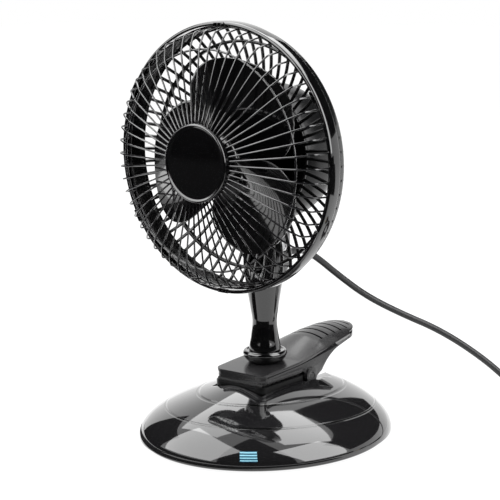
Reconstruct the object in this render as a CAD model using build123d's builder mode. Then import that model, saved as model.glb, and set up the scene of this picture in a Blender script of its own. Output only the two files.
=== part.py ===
"""Small clip fan on a weighted desk base.

Z is up, the fan blows towards -Y, and the origin is on the desk under the neck's swivel axis.
The clip's lower jaw slides out of the base to the rear, the upper lever opens on the pivot pin,
the neck swivels on the lever, the head tilts on the yoke, and the blades and the knob turn.
"""
import math
import os

from build123d import *

os.makedirs("parts", exist_ok=True)

# Driving sizes, in millimetres ------------------------------------------------------------

gap = 0.3  # between pieces that move past each other
running_fit = 0.05  # radial, for pins, journals and hinges

# Base
dome_half_x = 90.0
dome_half_y = 96.8
dome_peak_z = 47.1
dome_swell = 1.97
dome_shoulder = 0.95
dome_stretch = 0.64
dome_wall = 2.6
dome_levels = 10
dome_crown_z = 44.0
skirt_z = 4.0
plate_bottom_z = 1.2
plate_inset = 2.5
foot_radius = 8.0
foot_recess = 0.8
foot_spread_x = 52.0
foot_spread_y = 56.0
ballast_half_x = 62.0
ballast_half_y = 66.0
ballast_height = 6.0
base_screw_x = 66.0
base_screw_y = 30.0
base_screw_radius = 1.6
screw_head_radius = 3.2
boss_radius = 4.5
seam_width = 0.8
seam_depth = 0.6
lower_seam_z = 23.3
lower_seam_slope = 0.046
upper_seam_z = 34.3
upper_seam_slope = 0.041

# Clip
jaw_half_width = 23.0
jaw_front_y = -33.0
jaw_rear_y = 17.0
jaw_top_z = 44.6
jaw_bottom_z = 36.1
jaw_corner = 6.0
rail_half_width = 15.0
rail_neck_half_width = 11.0
rail_top_z = 40.8
rail_head_thickness = 2.2
pivot_y = 23.7
pivot_z = 42.8
pin_radius = 2.5
lug_radius = 6.3
lug_inner_x = 14.4
lug_outer_x = 19.9
lug_boss_x = 25.2
web_thickness = 2.7
handle_half_width = 11.5
handle_tip_y = 88.0
handle_tip_z = 15.2
handle_thickness = 3.4
handle_slot_floor_z = 13.0
pad_thickness = 1.5
upper_jaw_z = 46.6
lever_tip_y = 97.0
lever_end_radius = 17.5
lever_wall = 2.8
thumb_groove_count = 6
thumb_groove_width = 1.3
thumb_groove_depth = 0.9
thumb_groove_pitch = 7.0
spring_wire = 1.5
spring_radius = 4.5
spring_turns = 6
spring_pitch = 2.2
spring_leg = 17.0
spring_seat_y = 37.0

# Neck
swivel_z = 55.2
collar_height = 8.8
journal_radius = 11.15
tail_radius = 6.0
neck_foot_radius = 12.2
neck_waist_radius = 9.0
neck_waist_z = 84.8
neck_top_radius = 13.7
neck_top_z = 115.5
spigot_radius = 7.0
yoke_width = 32.4
yoke_depth = 25.0
yoke_shoulder_z = 127.0
tilt_y = 4.0
tilt_z = 141.0
ear_radius = 12.5
lug_half_width = 9.0
tilt_washer_thickness = 0.6
tilt_washer_radius = 7.5
bolt_radius = 2.0
bolt_head_radius = 4.0
bolt_head_height = 2.6

# Head
head_z = 208.0
guard_rear_y = -35.7
guard_radius = 95.0
rim_depth = 9.65
rim_taper = 0.55
rim_wall = 2.4
lip_inner_radius = guard_radius - 3.1
lip_thickness = 1.0
clip_count = 6
wire = 1.4
wire_count = 58
wire_phase = 3.0
ring_wire = 1.6
cage_inner_radius = 21.0
cage_cap_offset = -34.3
mid_ring_radius = guard_radius - 18.6
mid_ring_offset = -25.2
bend_radius = guard_radius - 7.0
bend_offset = -18.9
outer_ring_radius = guard_radius - 4.1
outer_ring_offset = -5.2
cap_radius = 27.1
cap_front_offset = -37.75
cap_bevel = 1.6
rib_count = 60
rib_width = 1.7
rib_depth = 2.4
rear_wall_outer_radius = guard_radius - rim_wall - gap
rear_wall_thickness = 1.9
rear_wall_front = -3.6
rear_wall_rear = 9.0
rear_ring_radius = guard_radius - 15.0
rear_ring_offset = 16.0
hub_ring_outer_radius = 48.2
hub_ring_inner_radius = 38.0
hub_ring_front = 23.7
housing_front = 26.0
housing_front_radius = 47.5
housing_waist_radius = 49.5
housing_rear = 81.0
housing_wall = 2.2
vent_count = 12

# Motor and blades
shaft_radius = 2.5
shaft_front = -18.0
shaft_rear = 63.0
blade_count = 3
blade_tip_radius = guard_radius - 25.0
blade_thickness = 1.8
blade_front = -16.0
blade_rear = 9.0
blade_first_angle = -42.0
blade_last_angle = 97.0
blade_camber = 0.85
hub_radius = 17.0
hub_front = -17.5
hub_rear = 9.5
mount_thickness = 3.0
stator_front = 36.0
stator_rear = 54.0
stator_radius = 30.0
stator_bore = 14.0
rotor_radius = 13.6
coil_depth = 3.5
rear_bracket_front = 60.0
pillar_radius = 33.0
knob_radius = 11.0
knob_length = 10.0

# Mains lead
cord_diameter = 5.0
relief_length = 14.0
relief_radius = 4.6
relief_seat = 1.2
exit_z = 131.5
coil_outer_radius = 38.5
coil_pitch = 5.6
coil_rise = 5.5
coil_layer_turns = 3
tie_thickness = 0.6
tie_width = 8.0
plug_length = 36.0
plug_half_width = 17.0
plug_half_height = 8.4
plug_pin_radius = 2.0
plug_pin_length = 19.0
plug_pin_spread = 19.0
lead_landing = (127.6, 185.7)
lead_end = (140.0, 194.3)

# Planes, axes and curves that several pieces share -----------------------------------------

side_plane = Plane.YZ
head_profile = Plane(origin=(0, guard_rear_y, head_z), x_dir=(0, 1, 0), z_dir=(1, 0, 0))
head_axis = Axis((0, 0, head_z), (0, 1, 0))
pivot_axis_plane = Plane(origin=(0, pivot_y, pivot_z), x_dir=(0, 1, 0), z_dir=(1, 0, 0))
tilt_plane = Plane(origin=(0, tilt_y, tilt_z), x_dir=(0, 1, 0), z_dir=(1, 0, 0))


def head_face(offset):
    """A plane across the head's axis, seen from the front: +X right, +Z up, normal forwards."""
    return Plane(origin=(0, guard_rear_y + offset, head_z), x_dir=(1, 0, 0), z_dir=(0, -1, 0))


def polar(radius, degrees):
    """A point of the head's front view, with the angle clockwise from the top."""
    angle = math.radians(degrees)
    return (radius * math.sin(angle), radius * math.cos(angle))


def dome_axes(height, inset=0.0):
    """Half axes of the dome's oval section at a height, drawn in by an inset."""
    rise = (height - skirt_z) / (dome_peak_z - skirt_z)
    taper = (1 - rise**dome_swell) ** dome_shoulder
    return dome_half_x * taper - inset, dome_half_y * taper**dome_stretch - inset


def dome_loft(inset=0.0):
    """The dome as a solid, with its surface drawn in and down by an inset."""
    with BuildPart() as form:
        for step in range(dome_levels + 1):
            share = math.sin(math.pi / 2 * step / dome_levels)
            height = skirt_z + (dome_crown_z - skirt_z) * share
            half_x, half_y = dome_axes(height, inset)
            with BuildSketch(Plane.XY.offset(height - inset)):
                Ellipse(half_x, half_y)
        loft()
    return form.part


def box_between(low, high, mode=Mode.ADD):
    """A box from its lowest to its highest corner."""
    size = [b - a for a, b in zip(low, high)]
    with Locations(tuple((a + b) / 2 for a, b in zip(low, high))):
        Box(*size, mode=mode)


# Base ---------------------------------------------------------------------------------------

saddle_z = jaw_bottom_z - gap
saddle_half_width = jaw_half_width + gap + 0.1
pocket_half_width = lug_boss_x + 0.8
pocket_front_y = jaw_rear_y - 3.0
slot_half_width = handle_half_width + gap + 0.5
slot_front_y = 15.6
behind_y = dome_half_y + 10
screw_corners = [(sx * base_screw_x, sy * base_screw_y) for sx in (-1, 1) for sy in (-1, 1)]
foot_corners = [(sx * foot_spread_x, sy * foot_spread_y) for sx in (-1, 1) for sy in (-1, 1)]

dome_outer = dome_loft()
dome_inner = dome_loft(dome_wall)
dome_skin = dome_loft(seam_depth)

with BuildPart() as dome_void:
    add(dome_inner)
    box_between(
        (-pocket_half_width - dome_wall, jaw_front_y - gap - dome_wall, saddle_z - dome_wall),
        (pocket_half_width + dome_wall, behind_y, dome_peak_z),
        mode=Mode.SUBTRACT,
    )
    box_between(
        (-slot_half_width - dome_wall, slot_front_y - dome_wall, handle_slot_floor_z - dome_wall),
        (slot_half_width + dome_wall, behind_y, dome_peak_z),
        mode=Mode.SUBTRACT,
    )
    with BuildSketch(Plane.XY):
        with Locations(*screw_corners):
            Circle(boss_radius)
    extrude(amount=dome_peak_z, mode=Mode.SUBTRACT)

with BuildPart() as seams:
    for seam_z, slope in ((lower_seam_z, lower_seam_slope), (upper_seam_z, upper_seam_slope)):
        lean = Plane(origin=(0, 0, seam_z), x_dir=(1, 0, 0), z_dir=(0, slope, 1))
        with BuildSketch(lean):
            Ellipse(dome_half_x + 5, dome_half_y + 5)
        extrude(amount=seam_width / 2, both=True)
    add(dome_skin, mode=Mode.SUBTRACT)

with BuildPart() as base_shell:
    add(dome_outer)
    add(dome_void.part, mode=Mode.SUBTRACT)
    box_between(
        (-saddle_half_width, jaw_front_y - gap - 0.1, saddle_z),
        (saddle_half_width, behind_y, dome_peak_z),
        mode=Mode.SUBTRACT,
    )
    box_between(
        (-pocket_half_width, pocket_front_y, saddle_z),
        (pocket_half_width, behind_y, dome_peak_z),
        mode=Mode.SUBTRACT,
    )
    box_between(
        (-slot_half_width, slot_front_y, handle_slot_floor_z),
        (slot_half_width, behind_y, dome_peak_z),
        mode=Mode.SUBTRACT,
    )
    box_between(
        (-rail_neck_half_width, jaw_front_y + 2, saddle_z),
        (rail_neck_half_width, jaw_rear_y - 2, rail_top_z - rail_head_thickness),
    )
    box_between(
        (-rail_half_width, jaw_front_y + 2, rail_top_z - rail_head_thickness),
        (rail_half_width, jaw_rear_y - 2, rail_top_z),
    )
    with BuildSketch(Plane.XY.offset(skirt_z)):
        with Locations(*screw_corners):
            Circle(base_screw_radius)
    extrude(amount=10, mode=Mode.SUBTRACT)
    add(seams.part, mode=Mode.SUBTRACT)
base_shell.part.label = "base_shell"
export_step(base_shell.part, "parts/base_shell.step")

with BuildPart() as base_plate:
    with BuildSketch(Plane.XY.offset(plate_bottom_z)):
        Ellipse(dome_half_x - plate_inset, dome_half_y - plate_inset)
    extrude(amount=skirt_z - plate_bottom_z)
    chamfer(base_plate.faces().sort_by(Axis.Z)[0].edges(), length=0.8)
    with BuildSketch(Plane.XY.offset(plate_bottom_z)):
        with Locations(*screw_corners):
            Circle(base_screw_radius)
    extrude(amount=skirt_z, mode=Mode.SUBTRACT)
    with BuildSketch(Plane.XY.offset(plate_bottom_z)):
        with Locations(*screw_corners):
            Circle(screw_head_radius + 0.2)
        with Locations(*foot_corners):
            Circle(foot_radius)
    extrude(amount=foot_recess, mode=Mode.SUBTRACT)
base_plate.part.label = "base_plate"
export_step(base_plate.part, "parts/base_plate.step")

with BuildPart() as ballast_weight:
    with BuildSketch(Plane.XY.offset(skirt_z)):
        Ellipse(ballast_half_x, ballast_half_y)
        with Locations(*screw_corners):
            Circle(boss_radius + 1.5, mode=Mode.SUBTRACT)
    extrude(amount=ballast_height)
    chamfer(ballast_weight.faces().sort_by(Axis.Z)[-1].edges(), length=0.6)
ballast_weight.part.label = "ballast_weight"
export_step(ballast_weight.part, "parts/ballast_weight.step")

with BuildPart() as rubber_feet:
    with BuildSketch():
        with Locations(*foot_corners):
            Circle(foot_radius)
    extrude(amount=plate_bottom_z + foot_recess)
    chamfer(rubber_feet.faces().group_by(Axis.Z)[0].edges(), length=0.5)
rubber_feet.part.label = "rubber_feet"
export_step(rubber_feet.part, "parts/rubber_feet.step")

with BuildPart() as base_screws:
    with BuildSketch(Plane.XY.offset(plate_bottom_z)):
        with Locations(*screw_corners):
            Circle(screw_head_radius)
    extrude(amount=foot_recess)
    with BuildSketch(Plane.XY.offset(plate_bottom_z + foot_recess)):
        with Locations(*screw_corners):
            Circle(base_screw_radius)
    extrude(amount=skirt_z + 8 - plate_bottom_z)
base_screws.part.label = "base_screws"
export_step(base_screws.part, "parts/base_screws.step")

# Clip, lower half ---------------------------------------------------------------------------

channel_top_z = rail_top_z + gap
lip_top_z = rail_top_z - rail_head_thickness - gap
handle_root_y = jaw_rear_y - 1.0

with BuildPart() as lower_jaw:
    with BuildSketch(Plane.XY.offset(jaw_bottom_z)) as jaw_plan:
        with Locations((0, (jaw_front_y + jaw_rear_y) / 2)):
            Rectangle(2 * jaw_half_width, jaw_rear_y - jaw_front_y)
        fillet(jaw_plan.vertices().group_by(Axis.Y)[0], radius=jaw_corner)
        fillet(jaw_plan.vertices().group_by(Axis.Y)[-1], radius=2.0)
    extrude(amount=jaw_top_z - jaw_bottom_z)
    fillet(lower_jaw.faces().sort_by(Axis.Z)[-1].edges(), radius=0.8)
    for side in (-1, 1):
        with BuildSketch(side_plane.offset(side * lug_inner_x)):
            with BuildLine():
                Polyline(
                    (jaw_rear_y - 4, jaw_bottom_z),
                    (pivot_y - 2, jaw_bottom_z + 0.4),
                    (pivot_y + 2, pivot_z - lug_radius + 0.6),
                    (pivot_y, pivot_z + lug_radius - 0.3),
                    (jaw_rear_y - 4, jaw_top_z - 0.8),
                    close=True,
                )
            make_face()
            with Locations((pivot_y, pivot_z)):
                Circle(lug_radius - 0.3)
        extrude(amount=side * (lug_outer_x - lug_inner_x))
    with BuildSketch(side_plane):
        with BuildLine():
            Polyline(
                (handle_root_y - 4, jaw_bottom_z),
                (handle_root_y, jaw_bottom_z),
                (30, 30.2),
                (60, 22.6),
                (handle_tip_y, handle_tip_z),
                (handle_tip_y + 0.6, handle_tip_z + handle_thickness),
                (60, 22.6 + handle_thickness),
                (30, 30.2 + handle_thickness),
                (handle_root_y + 1.5, jaw_bottom_z + 1.2),
                (handle_root_y - 4, jaw_bottom_z + 1.2),
                close=True,
            )
        make_face()
    extrude(amount=handle_half_width, both=True)
    box_between(
        (-9, spring_seat_y - 1, 30),
        (9, spring_seat_y + 2, pivot_z - spring_radius - spring_wire / 2 - gap),
    )
    box_between(
        (-rail_neck_half_width - gap, jaw_front_y - 1, jaw_bottom_z - 1),
        (rail_neck_half_width + gap, jaw_rear_y - 1.6, channel_top_z),
        mode=Mode.SUBTRACT,
    )
    box_between(
        (-rail_half_width - gap, jaw_front_y - 1, lip_top_z),
        (rail_half_width + gap, jaw_rear_y - 1.6, channel_top_z),
        mode=Mode.SUBTRACT,
    )
    with Locations((0, pivot_y, pivot_z)):
        Cylinder(pin_radius, 2 * lug_boss_x, rotation=(0, 90, 0), mode=Mode.SUBTRACT)
    box_between(
        (-jaw_half_width + 3, jaw_front_y + 3, jaw_top_z - pad_thickness + 0.15),
        (jaw_half_width - 3, jaw_rear_y - 5, jaw_top_z + 1),
        mode=Mode.SUBTRACT,
    )
lower_jaw.part.label = "lower_jaw"
export_step(lower_jaw.part, "parts/lower_jaw.step")

pad_length = jaw_rear_y - jaw_front_y - 8


def jaw_pad(low_z, ribs_up):
    """A rubber pad with shallow grip grooves across its gripping face."""
    box_between(
        (-jaw_half_width + 3, jaw_front_y + 3, low_z),
        (jaw_half_width - 3, jaw_rear_y - 5, low_z + pad_thickness),
    )
    grooved_z = low_z + pad_thickness if ribs_up else low_z
    for step in range(8):
        groove_y = jaw_front_y + 3 + pad_length * (step + 0.5) / 8
        box_between(
            (-jaw_half_width, groove_y - 0.7, grooved_z - 0.4),
            (jaw_half_width, groove_y + 0.7, grooved_z + 0.4),
            mode=Mode.SUBTRACT,
        )


with BuildPart() as lower_jaw_pad:
    jaw_pad(jaw_top_z - pad_thickness + 0.15, ribs_up=True)
lower_jaw_pad.part.label = "lower_jaw_pad"
export_step(lower_jaw_pad.part, "parts/lower_jaw_pad.step")

with BuildPart() as upper_jaw_pad:
    jaw_pad(upper_jaw_z - pad_thickness, ribs_up=False)
upper_jaw_pad.part.label = "upper_jaw_pad"
export_step(upper_jaw_pad.part, "parts/upper_jaw_pad.step")

with BuildPart() as pivot_pin:
    with Locations((0, pivot_y, pivot_z)):
        Cylinder(pin_radius, 2 * lug_boss_x, rotation=(0, 90, 0))
    chamfer(pivot_pin.edges().filter_by(GeomType.CIRCLE), length=0.4)
pivot_pin.part.label = "pivot_pin"
export_step(pivot_pin.part, "parts/pivot_pin.step")

# Clip, upper half ---------------------------------------------------------------------------

# Stations of the lever: place along Y, half width, edge height, crown height.
lever_stations = [
    (jaw_front_y + 2, 22.2, 52.6, 52.9),
    (-8, jaw_half_width, 54.0, 54.4),
    (12, jaw_half_width, 54.9, 55.6),
    (28, jaw_half_width, 56.4, 60.4),
    (45, 22.6, 58.4, 65.4),
    (62, 21.4, 60.8, 67.6),
    (80, 19.4, 62.6, 68.2),
    (lever_tip_y + 1, 16.5, 64.2, 66.4),
]
lever_end_y = lever_tip_y - lever_end_radius
lever_underside = [
    (jaw_front_y - 5, upper_jaw_z),
    (jaw_rear_y - 4.5, upper_jaw_z),
    (28, 50.6),
    (45, 53.2),
    (62, 55.6),
    (80, 58.0),
    (lever_tip_y + 5, 60.7),
]


def lever_loft(stations, inset=0.0):
    """The lever's long body down to the pivot's height, with sides and crown drawn in."""
    with BuildPart() as form:
        for place, half, edge, crown in stations:
            with BuildSketch(Plane(origin=(0, place, 0), x_dir=(-1, 0, 0), z_dir=(0, 1, 0))):
                with BuildLine():
                    ThreePointArc(
                        (-half + inset, edge - inset), (0, crown - inset), (half - inset, edge - inset)
                    )
                    Polyline(
                        (half - inset, edge - inset),
                        (half - inset, pivot_z),
                        (-half + inset, pivot_z),
                        (-half + inset, edge - inset),
                    )
                make_face()
        loft()
    return form.part


with BuildPart() as thumb_grooves:
    for step in range(thumb_groove_count):
        groove_y = lever_tip_y - 9 - step * thumb_groove_pitch
        reach = math.sqrt(max(lever_end_radius**2 - max(groove_y - lever_end_y, 0) ** 2, 0)) - 4.5
        box_between(
            (-reach, groove_y - thumb_groove_width / 2, 55),
            (reach, groove_y + thumb_groove_width / 2, 75),
        )
    add(lever_loft(lever_stations, inset=thumb_groove_depth), mode=Mode.SUBTRACT)

with BuildPart() as upper_lever:
    add(lever_loft(lever_stations))
    with BuildSketch(Plane.XY.offset(30)) as lever_plan:
        with BuildLine():
            Polyline(
                (-lever_end_radius, lever_end_y),
                (-jaw_half_width, 40),
                (-jaw_half_width, jaw_front_y + 2),
                (jaw_half_width, jaw_front_y + 2),
                (jaw_half_width, 40),
                (lever_end_radius, lever_end_y),
            )
            ThreePointArc(
                (lever_end_radius, lever_end_y),
                (0, lever_tip_y),
                (-lever_end_radius, lever_end_y),
            )
        make_face()
        fillet(lever_plan.vertices().group_by(Axis.Y)[0], radius=jaw_corner)
    extrude(amount=50, mode=Mode.INTERSECT)
    with BuildSketch(side_plane):
        with BuildLine():
            Polyline(
                *lever_underside,
                (lever_tip_y + 5, pivot_z - 5),
                (jaw_front_y - 5, pivot_z - 5),
                close=True,
            )
        make_face()
    extrude(amount=2 * jaw_half_width, both=True, mode=Mode.SUBTRACT)
    add(lever_loft(lever_stations[3:-1], inset=lever_wall), mode=Mode.SUBTRACT)
    box_between(
        (-9, spring_seat_y, pivot_z + spring_radius + spring_wire / 2 + gap),
        (9, spring_seat_y + 3, 60),
    )
    for side in (-1, 1):
        with BuildSketch(side_plane.offset(side * (jaw_half_width - web_thickness))):
            with BuildLine():
                Polyline(
                    (10.5, 53.5),
                    (12.5, 50.6),
                    (pivot_y - lug_radius + 0.4, pivot_z + 2.2),
                    (pivot_y + 1, pivot_z - lug_radius + 0.2),
                    (38.6, 43.4),
                )
                ThreePointArc((38.6, 43.4), (47.0, 51.4), (60.0, 57.6))
                Polyline((60.0, 57.6), (60.0, 59.6), (10.5, 53.5))
            make_face()
            with Locations((pivot_y, pivot_z)):
                Circle(lug_radius)
        extrude(amount=side * web_thickness)
        with BuildSketch(pivot_axis_plane.offset(side * jaw_half_width)):
            Circle(lug_radius - 0.2)
        extrude(amount=side * (lug_boss_x - jaw_half_width))
    with Locations((0, pivot_y, pivot_z)):
        Cylinder(
            pin_radius + running_fit, 2 * lug_boss_x + 2, rotation=(0, 90, 0), mode=Mode.SUBTRACT
        )
    with BuildSketch(Plane.XY.offset(upper_jaw_z + 4)):
        Circle(neck_foot_radius + 3)
    extrude(amount=swivel_z - upper_jaw_z - 4)
    with BuildSketch(Plane.XY.offset(swivel_z)):
        Circle(neck_foot_radius + 3)
    extrude(amount=10, mode=Mode.SUBTRACT)
    with BuildSketch(Plane.XY.offset(upper_jaw_z)):
        Circle(tail_radius + running_fit)
    extrude(amount=20, mode=Mode.SUBTRACT)
    with BuildSketch(Plane.XY.offset(upper_jaw_z)):
        Circle(9.4)
    extrude(amount=3.3, mode=Mode.SUBTRACT)
    add(thumb_grooves.part, mode=Mode.SUBTRACT)
upper_lever.part.label = "upper_lever"
export_step(upper_lever.part, "parts/upper_lever.step")

with BuildPart() as swivel_collar:
    with BuildSketch(side_plane):
        with BuildLine():
            Polyline(
                (13.2, swivel_z),
                (journal_radius + running_fit, swivel_z),
                (journal_radius + running_fit, swivel_z + collar_height),
                (13.5, swivel_z + collar_height),
                (15.3, swivel_z + collar_height - 2.0),
            )
            ThreePointArc(
                (15.3, swivel_z + collar_height - 2.0),
                (16.1, swivel_z + 3.6),
                (13.2, swivel_z),
            )
        make_face()
    revolve(axis=Axis.Z)
swivel_collar.part.label = "swivel_collar"
export_step(swivel_collar.part, "parts/swivel_collar.step")


def tangent_half_turn(start, center, rise, axis=(0, 0, 1), turn=1):
    """Two tangent arcs that go half way round a centre while they climb along its axis."""
    up = Vector(*axis)
    out = Vector(*start) - Vector(*center)
    around = up.cross(out) * turn
    reach = math.sqrt(out.length**2 + rise**2 / 4)
    middle = Vector(*center) + around.normalized() * reach + up * (rise / 2)
    end = Vector(*center) - out + up * rise
    first = Edge.make_tangent_arc(Vector(*start), around, middle)
    second = Edge.make_tangent_arc(middle, first.tangent_at(1), end)
    return [first, second], end


spring_edges = []
spring_point = Vector(-spring_turns * spring_pitch / 2, pivot_y, pivot_z + spring_radius)
for half_turn in range(2 * spring_turns - 1):
    spring_center = Vector(spring_point.X, pivot_y, pivot_z)
    arcs, spring_point = tangent_half_turn(
        spring_point, spring_center, spring_pitch / 2, axis=(1, 0, 0)
    )
    spring_edges += arcs
spring_head = spring_edges[0] @ 0
spring_tail = spring_edges[-1] @ 1
upper_leg = Edge.make_line(spring_head - (spring_edges[0] % 0) * spring_leg, spring_head)
lower_leg = Edge.make_line(spring_tail, spring_tail + (spring_edges[-1] % 1) * spring_leg)
spring_path = Wire([upper_leg] + spring_edges + [lower_leg])

with BuildPart() as clip_spring:
    with BuildSketch(Plane(origin=upper_leg @ 0, z_dir=upper_leg % 0)):
        RegularPolygon(spring_wire / 2, 6)
    sweep(path=spring_path)
clip_spring.part.label = "clip_spring"
export_step(clip_spring.part, "parts/clip_spring.step")

# Neck ---------------------------------------------------------------------------------------

collar_top_z = swivel_z + collar_height
tail_bottom_z = upper_jaw_z + 3.0

with BuildPart() as neck_post:
    with BuildSketch(side_plane):
        with BuildLine():
            Spline(
                (neck_foot_radius, collar_top_z),
                (neck_foot_radius - 2.2, collar_top_z + 9.5),
                (neck_waist_radius, neck_waist_z),
                (neck_top_radius - 2.2, neck_top_z - 12.9),
                (neck_top_radius, neck_top_z),
            )
            Polyline(
                (neck_top_radius, neck_top_z),
                (0, neck_top_z),
                (0, tail_bottom_z),
                (tail_radius, tail_bottom_z),
                (tail_radius, swivel_z + gap),
                (journal_radius, swivel_z + gap),
                (journal_radius, collar_top_z),
                (neck_foot_radius, collar_top_z),
            )
        make_face()
    revolve(axis=Axis.Z)
    with BuildSketch(Plane.XY.offset(neck_top_z)):
        Circle(spigot_radius)
    extrude(amount=-9, mode=Mode.SUBTRACT)
    with BuildSketch(Plane.XY.offset(tail_bottom_z)):
        Circle(base_screw_radius)
    extrude(amount=8, mode=Mode.SUBTRACT)
neck_post.part.label = "neck_post"
export_step(neck_post.part, "parts/neck_post.step")

with BuildPart() as swivel_washer:
    with BuildSketch(Plane.XY.offset(tail_bottom_z - 1.7)):
        Circle(9.0)
        Circle(base_screw_radius, mode=Mode.SUBTRACT)
    extrude(amount=1.7)
swivel_washer.part.label = "swivel_washer"
export_step(swivel_washer.part, "parts/swivel_washer.step")

with BuildPart() as swivel_screw:
    with BuildSketch(Plane.XY.offset(tail_bottom_z - 2.7)):
        Circle(screw_head_radius)
    extrude(amount=1.0)
    with BuildSketch(Plane.XY.offset(tail_bottom_z - 1.7)):
        Circle(base_screw_radius)
    extrude(amount=9.0)
swivel_screw.part.label = "swivel_screw"
export_step(swivel_screw.part, "parts/swivel_screw.step")

ear_inner_x = lug_half_width + tilt_washer_thickness
yoke_y = tilt_y - 0.5
relief_y = yoke_y + yoke_depth / 2

with BuildPart() as neck_yoke:
    with BuildSketch(Plane.XY.offset(neck_top_z)):
        Circle(neck_top_radius)
    with BuildSketch(Plane.XY.offset(yoke_shoulder_z)):
        with Locations((0, yoke_y)):
            RectangleRounded(yoke_width, yoke_depth, 8.0)
    loft()
    with BuildSketch(Plane.XY.offset(yoke_shoulder_z)):
        with Locations((0, yoke_y)):
            RectangleRounded(yoke_width, yoke_depth, 8.0)
    extrude(amount=tilt_z + ear_radius - yoke_shoulder_z)
    with BuildPart(mode=Mode.PRIVATE) as ear_form:
        with BuildSketch(side_plane):
            with Locations((tilt_y, tilt_z)):
                Circle(ear_radius)
            with Locations((yoke_y, (neck_top_z + tilt_z) / 2 - 2)):
                Rectangle(2 * ear_radius + 6, tilt_z - neck_top_z + 4)
        extrude(amount=yoke_width, both=True)
    add(ear_form.part, mode=Mode.INTERSECT)
    box_between(
        (-ear_inner_x, -yoke_depth, tilt_z - ear_radius - 0.5),
        (ear_inner_x, yoke_depth, tilt_z + yoke_depth),
        mode=Mode.SUBTRACT,
    )
    with BuildSketch(Plane.XY.offset(neck_top_z)):
        Circle(spigot_radius)
    extrude(amount=-8.5)
    with BuildSketch(tilt_plane):
        Circle(bolt_radius)
    extrude(amount=yoke_width, both=True, mode=Mode.SUBTRACT)
    for side in (-1, 1):
        with BuildSketch(tilt_plane.offset(side * yoke_width / 2)):
            Circle(bolt_head_radius + 0.2)
        extrude(amount=-side * (bolt_head_height + 0.4), mode=Mode.SUBTRACT)
    with BuildSketch(Plane.XZ.offset(-relief_y)):
        with Locations((0, exit_z)):
            Circle(relief_radius)
    extrude(amount=relief_seat, mode=Mode.SUBTRACT)
neck_yoke.part.label = "neck_yoke"
export_step(neck_yoke.part, "parts/neck_yoke.step")

bolt_seat_x = yoke_width / 2 - bolt_head_height - 0.4

with BuildPart() as tilt_bolt:
    with BuildSketch(tilt_plane.offset(-bolt_seat_x)):
        Circle(bolt_radius)
    extrude(amount=2 * bolt_seat_x + bolt_head_height - 0.4)
    with BuildSketch(tilt_plane.offset(-bolt_seat_x)):
        RegularPolygon(bolt_head_radius, 6)
    extrude(amount=-bolt_head_height)
tilt_bolt.part.label = "tilt_bolt"
export_step(tilt_bolt.part, "parts/tilt_bolt.step")

with BuildPart() as tilt_nut:
    with BuildSketch(tilt_plane.offset(bolt_seat_x)):
        RegularPolygon(bolt_head_radius, 6)
        Circle(bolt_radius, mode=Mode.SUBTRACT)
    extrude(amount=bolt_head_height)
tilt_nut.part.label = "tilt_nut"
export_step(tilt_nut.part, "parts/tilt_nut.step")

with BuildPart() as tilt_washers:
    for side in (-1, 1):
        with BuildSketch(tilt_plane.offset(side * lug_half_width)):
            Circle(tilt_washer_radius)
            Circle(bolt_radius, mode=Mode.SUBTRACT)
        extrude(amount=side * tilt_washer_thickness)
tilt_washers.part.label = "tilt_washers"
export_step(tilt_washers.part, "parts/tilt_washers.step")

# Head: housing and guards -------------------------------------------------------------------

housing_outline = [
    (housing_front, housing_front_radius),
    (38.0, housing_waist_radius),
    (52.0, housing_waist_radius - 0.6),
    (66.0, 44.0),
    (76.0, 33.0),
    (housing_rear, 14.0),
]


def housing_form(inset=0.0, front=housing_front):
    """The bell of the motor housing as a solid, drawn in by an inset."""
    outline = [(offset, radius - inset) for offset, radius in housing_outline[:3]]
    outline += [(offset - inset, radius - inset / 2) for offset, radius in housing_outline[3:]]
    with BuildPart() as form:
        with BuildSketch(head_profile):
            with BuildLine():
                Line((housing_front, 0), outline[0])
                Spline(*outline)
                Polyline(outline[-1], (outline[-1][0], 0), (housing_front, 0))
            make_face()
            with Locations(((front + housing_front + 0.2) / 2, outline[0][1] / 2)):
                Rectangle(housing_front - front + 0.2, outline[0][1])
        revolve(axis=head_axis)
    return form.part


with BuildPart() as motor_housing:
    add(housing_form())
    with BuildSketch(Plane.XY.offset(tilt_z + ear_radius + 1.4)):
        with Locations((0, tilt_y)):
            RectangleRounded(2 * lug_half_width, 24, 5)
    with BuildSketch(Plane.XY.offset(tilt_z + ear_radius + 20)):
        with Locations((0, 13)):
            RectangleRounded(52, 44, 16)
    loft()
    with BuildSketch(side_plane):
        with Locations((tilt_y, tilt_z)):
            Circle(ear_radius - 1)
        with Locations((tilt_y, tilt_z + 9)):
            Rectangle(2 * (ear_radius - 1), 18)
    extrude(amount=lug_half_width, both=True)
    add(housing_form(housing_wall, housing_front - 1), mode=Mode.SUBTRACT)
    with BuildSketch(tilt_plane):
        Circle(bolt_radius + running_fit)
    extrude(amount=yoke_width, both=True, mode=Mode.SUBTRACT)
    with BuildSketch(head_face(housing_rear + 2)):
        Circle(4.0 + gap)
        with PolarLocations(24.0, vent_count):
            SlotOverall(11.0, 2.6)
    extrude(amount=16, mode=Mode.SUBTRACT)
motor_housing.part.label = "motor_housing"
export_step(motor_housing.part, "parts/motor_housing.step")

rear_path = [
    (rear_wall_rear - 1, rear_wall_outer_radius - rear_wall_thickness),
    (rear_ring_offset, rear_ring_radius),
    (22.4, rear_ring_radius - 16.0),
    (hub_ring_front + 1.0, hub_ring_outer_radius - 1),
]


def thick_path(points, depth):
    """A closed outline that follows a path at half a depth on each side."""
    left, right = [], []
    for index, point in enumerate(points):
        before = points[max(index - 1, 0)]
        after = points[min(index + 1, len(points) - 1)]
        along = Vector(after[0] - before[0], after[1] - before[1]).normalized()
        across = Vector(-along.Y, along.X) * (depth / 2)
        left.append((point[0] + across.X, point[1] + across.Y))
        right.append((point[0] - across.X, point[1] - across.Y))
    return left + right[::-1]


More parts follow.
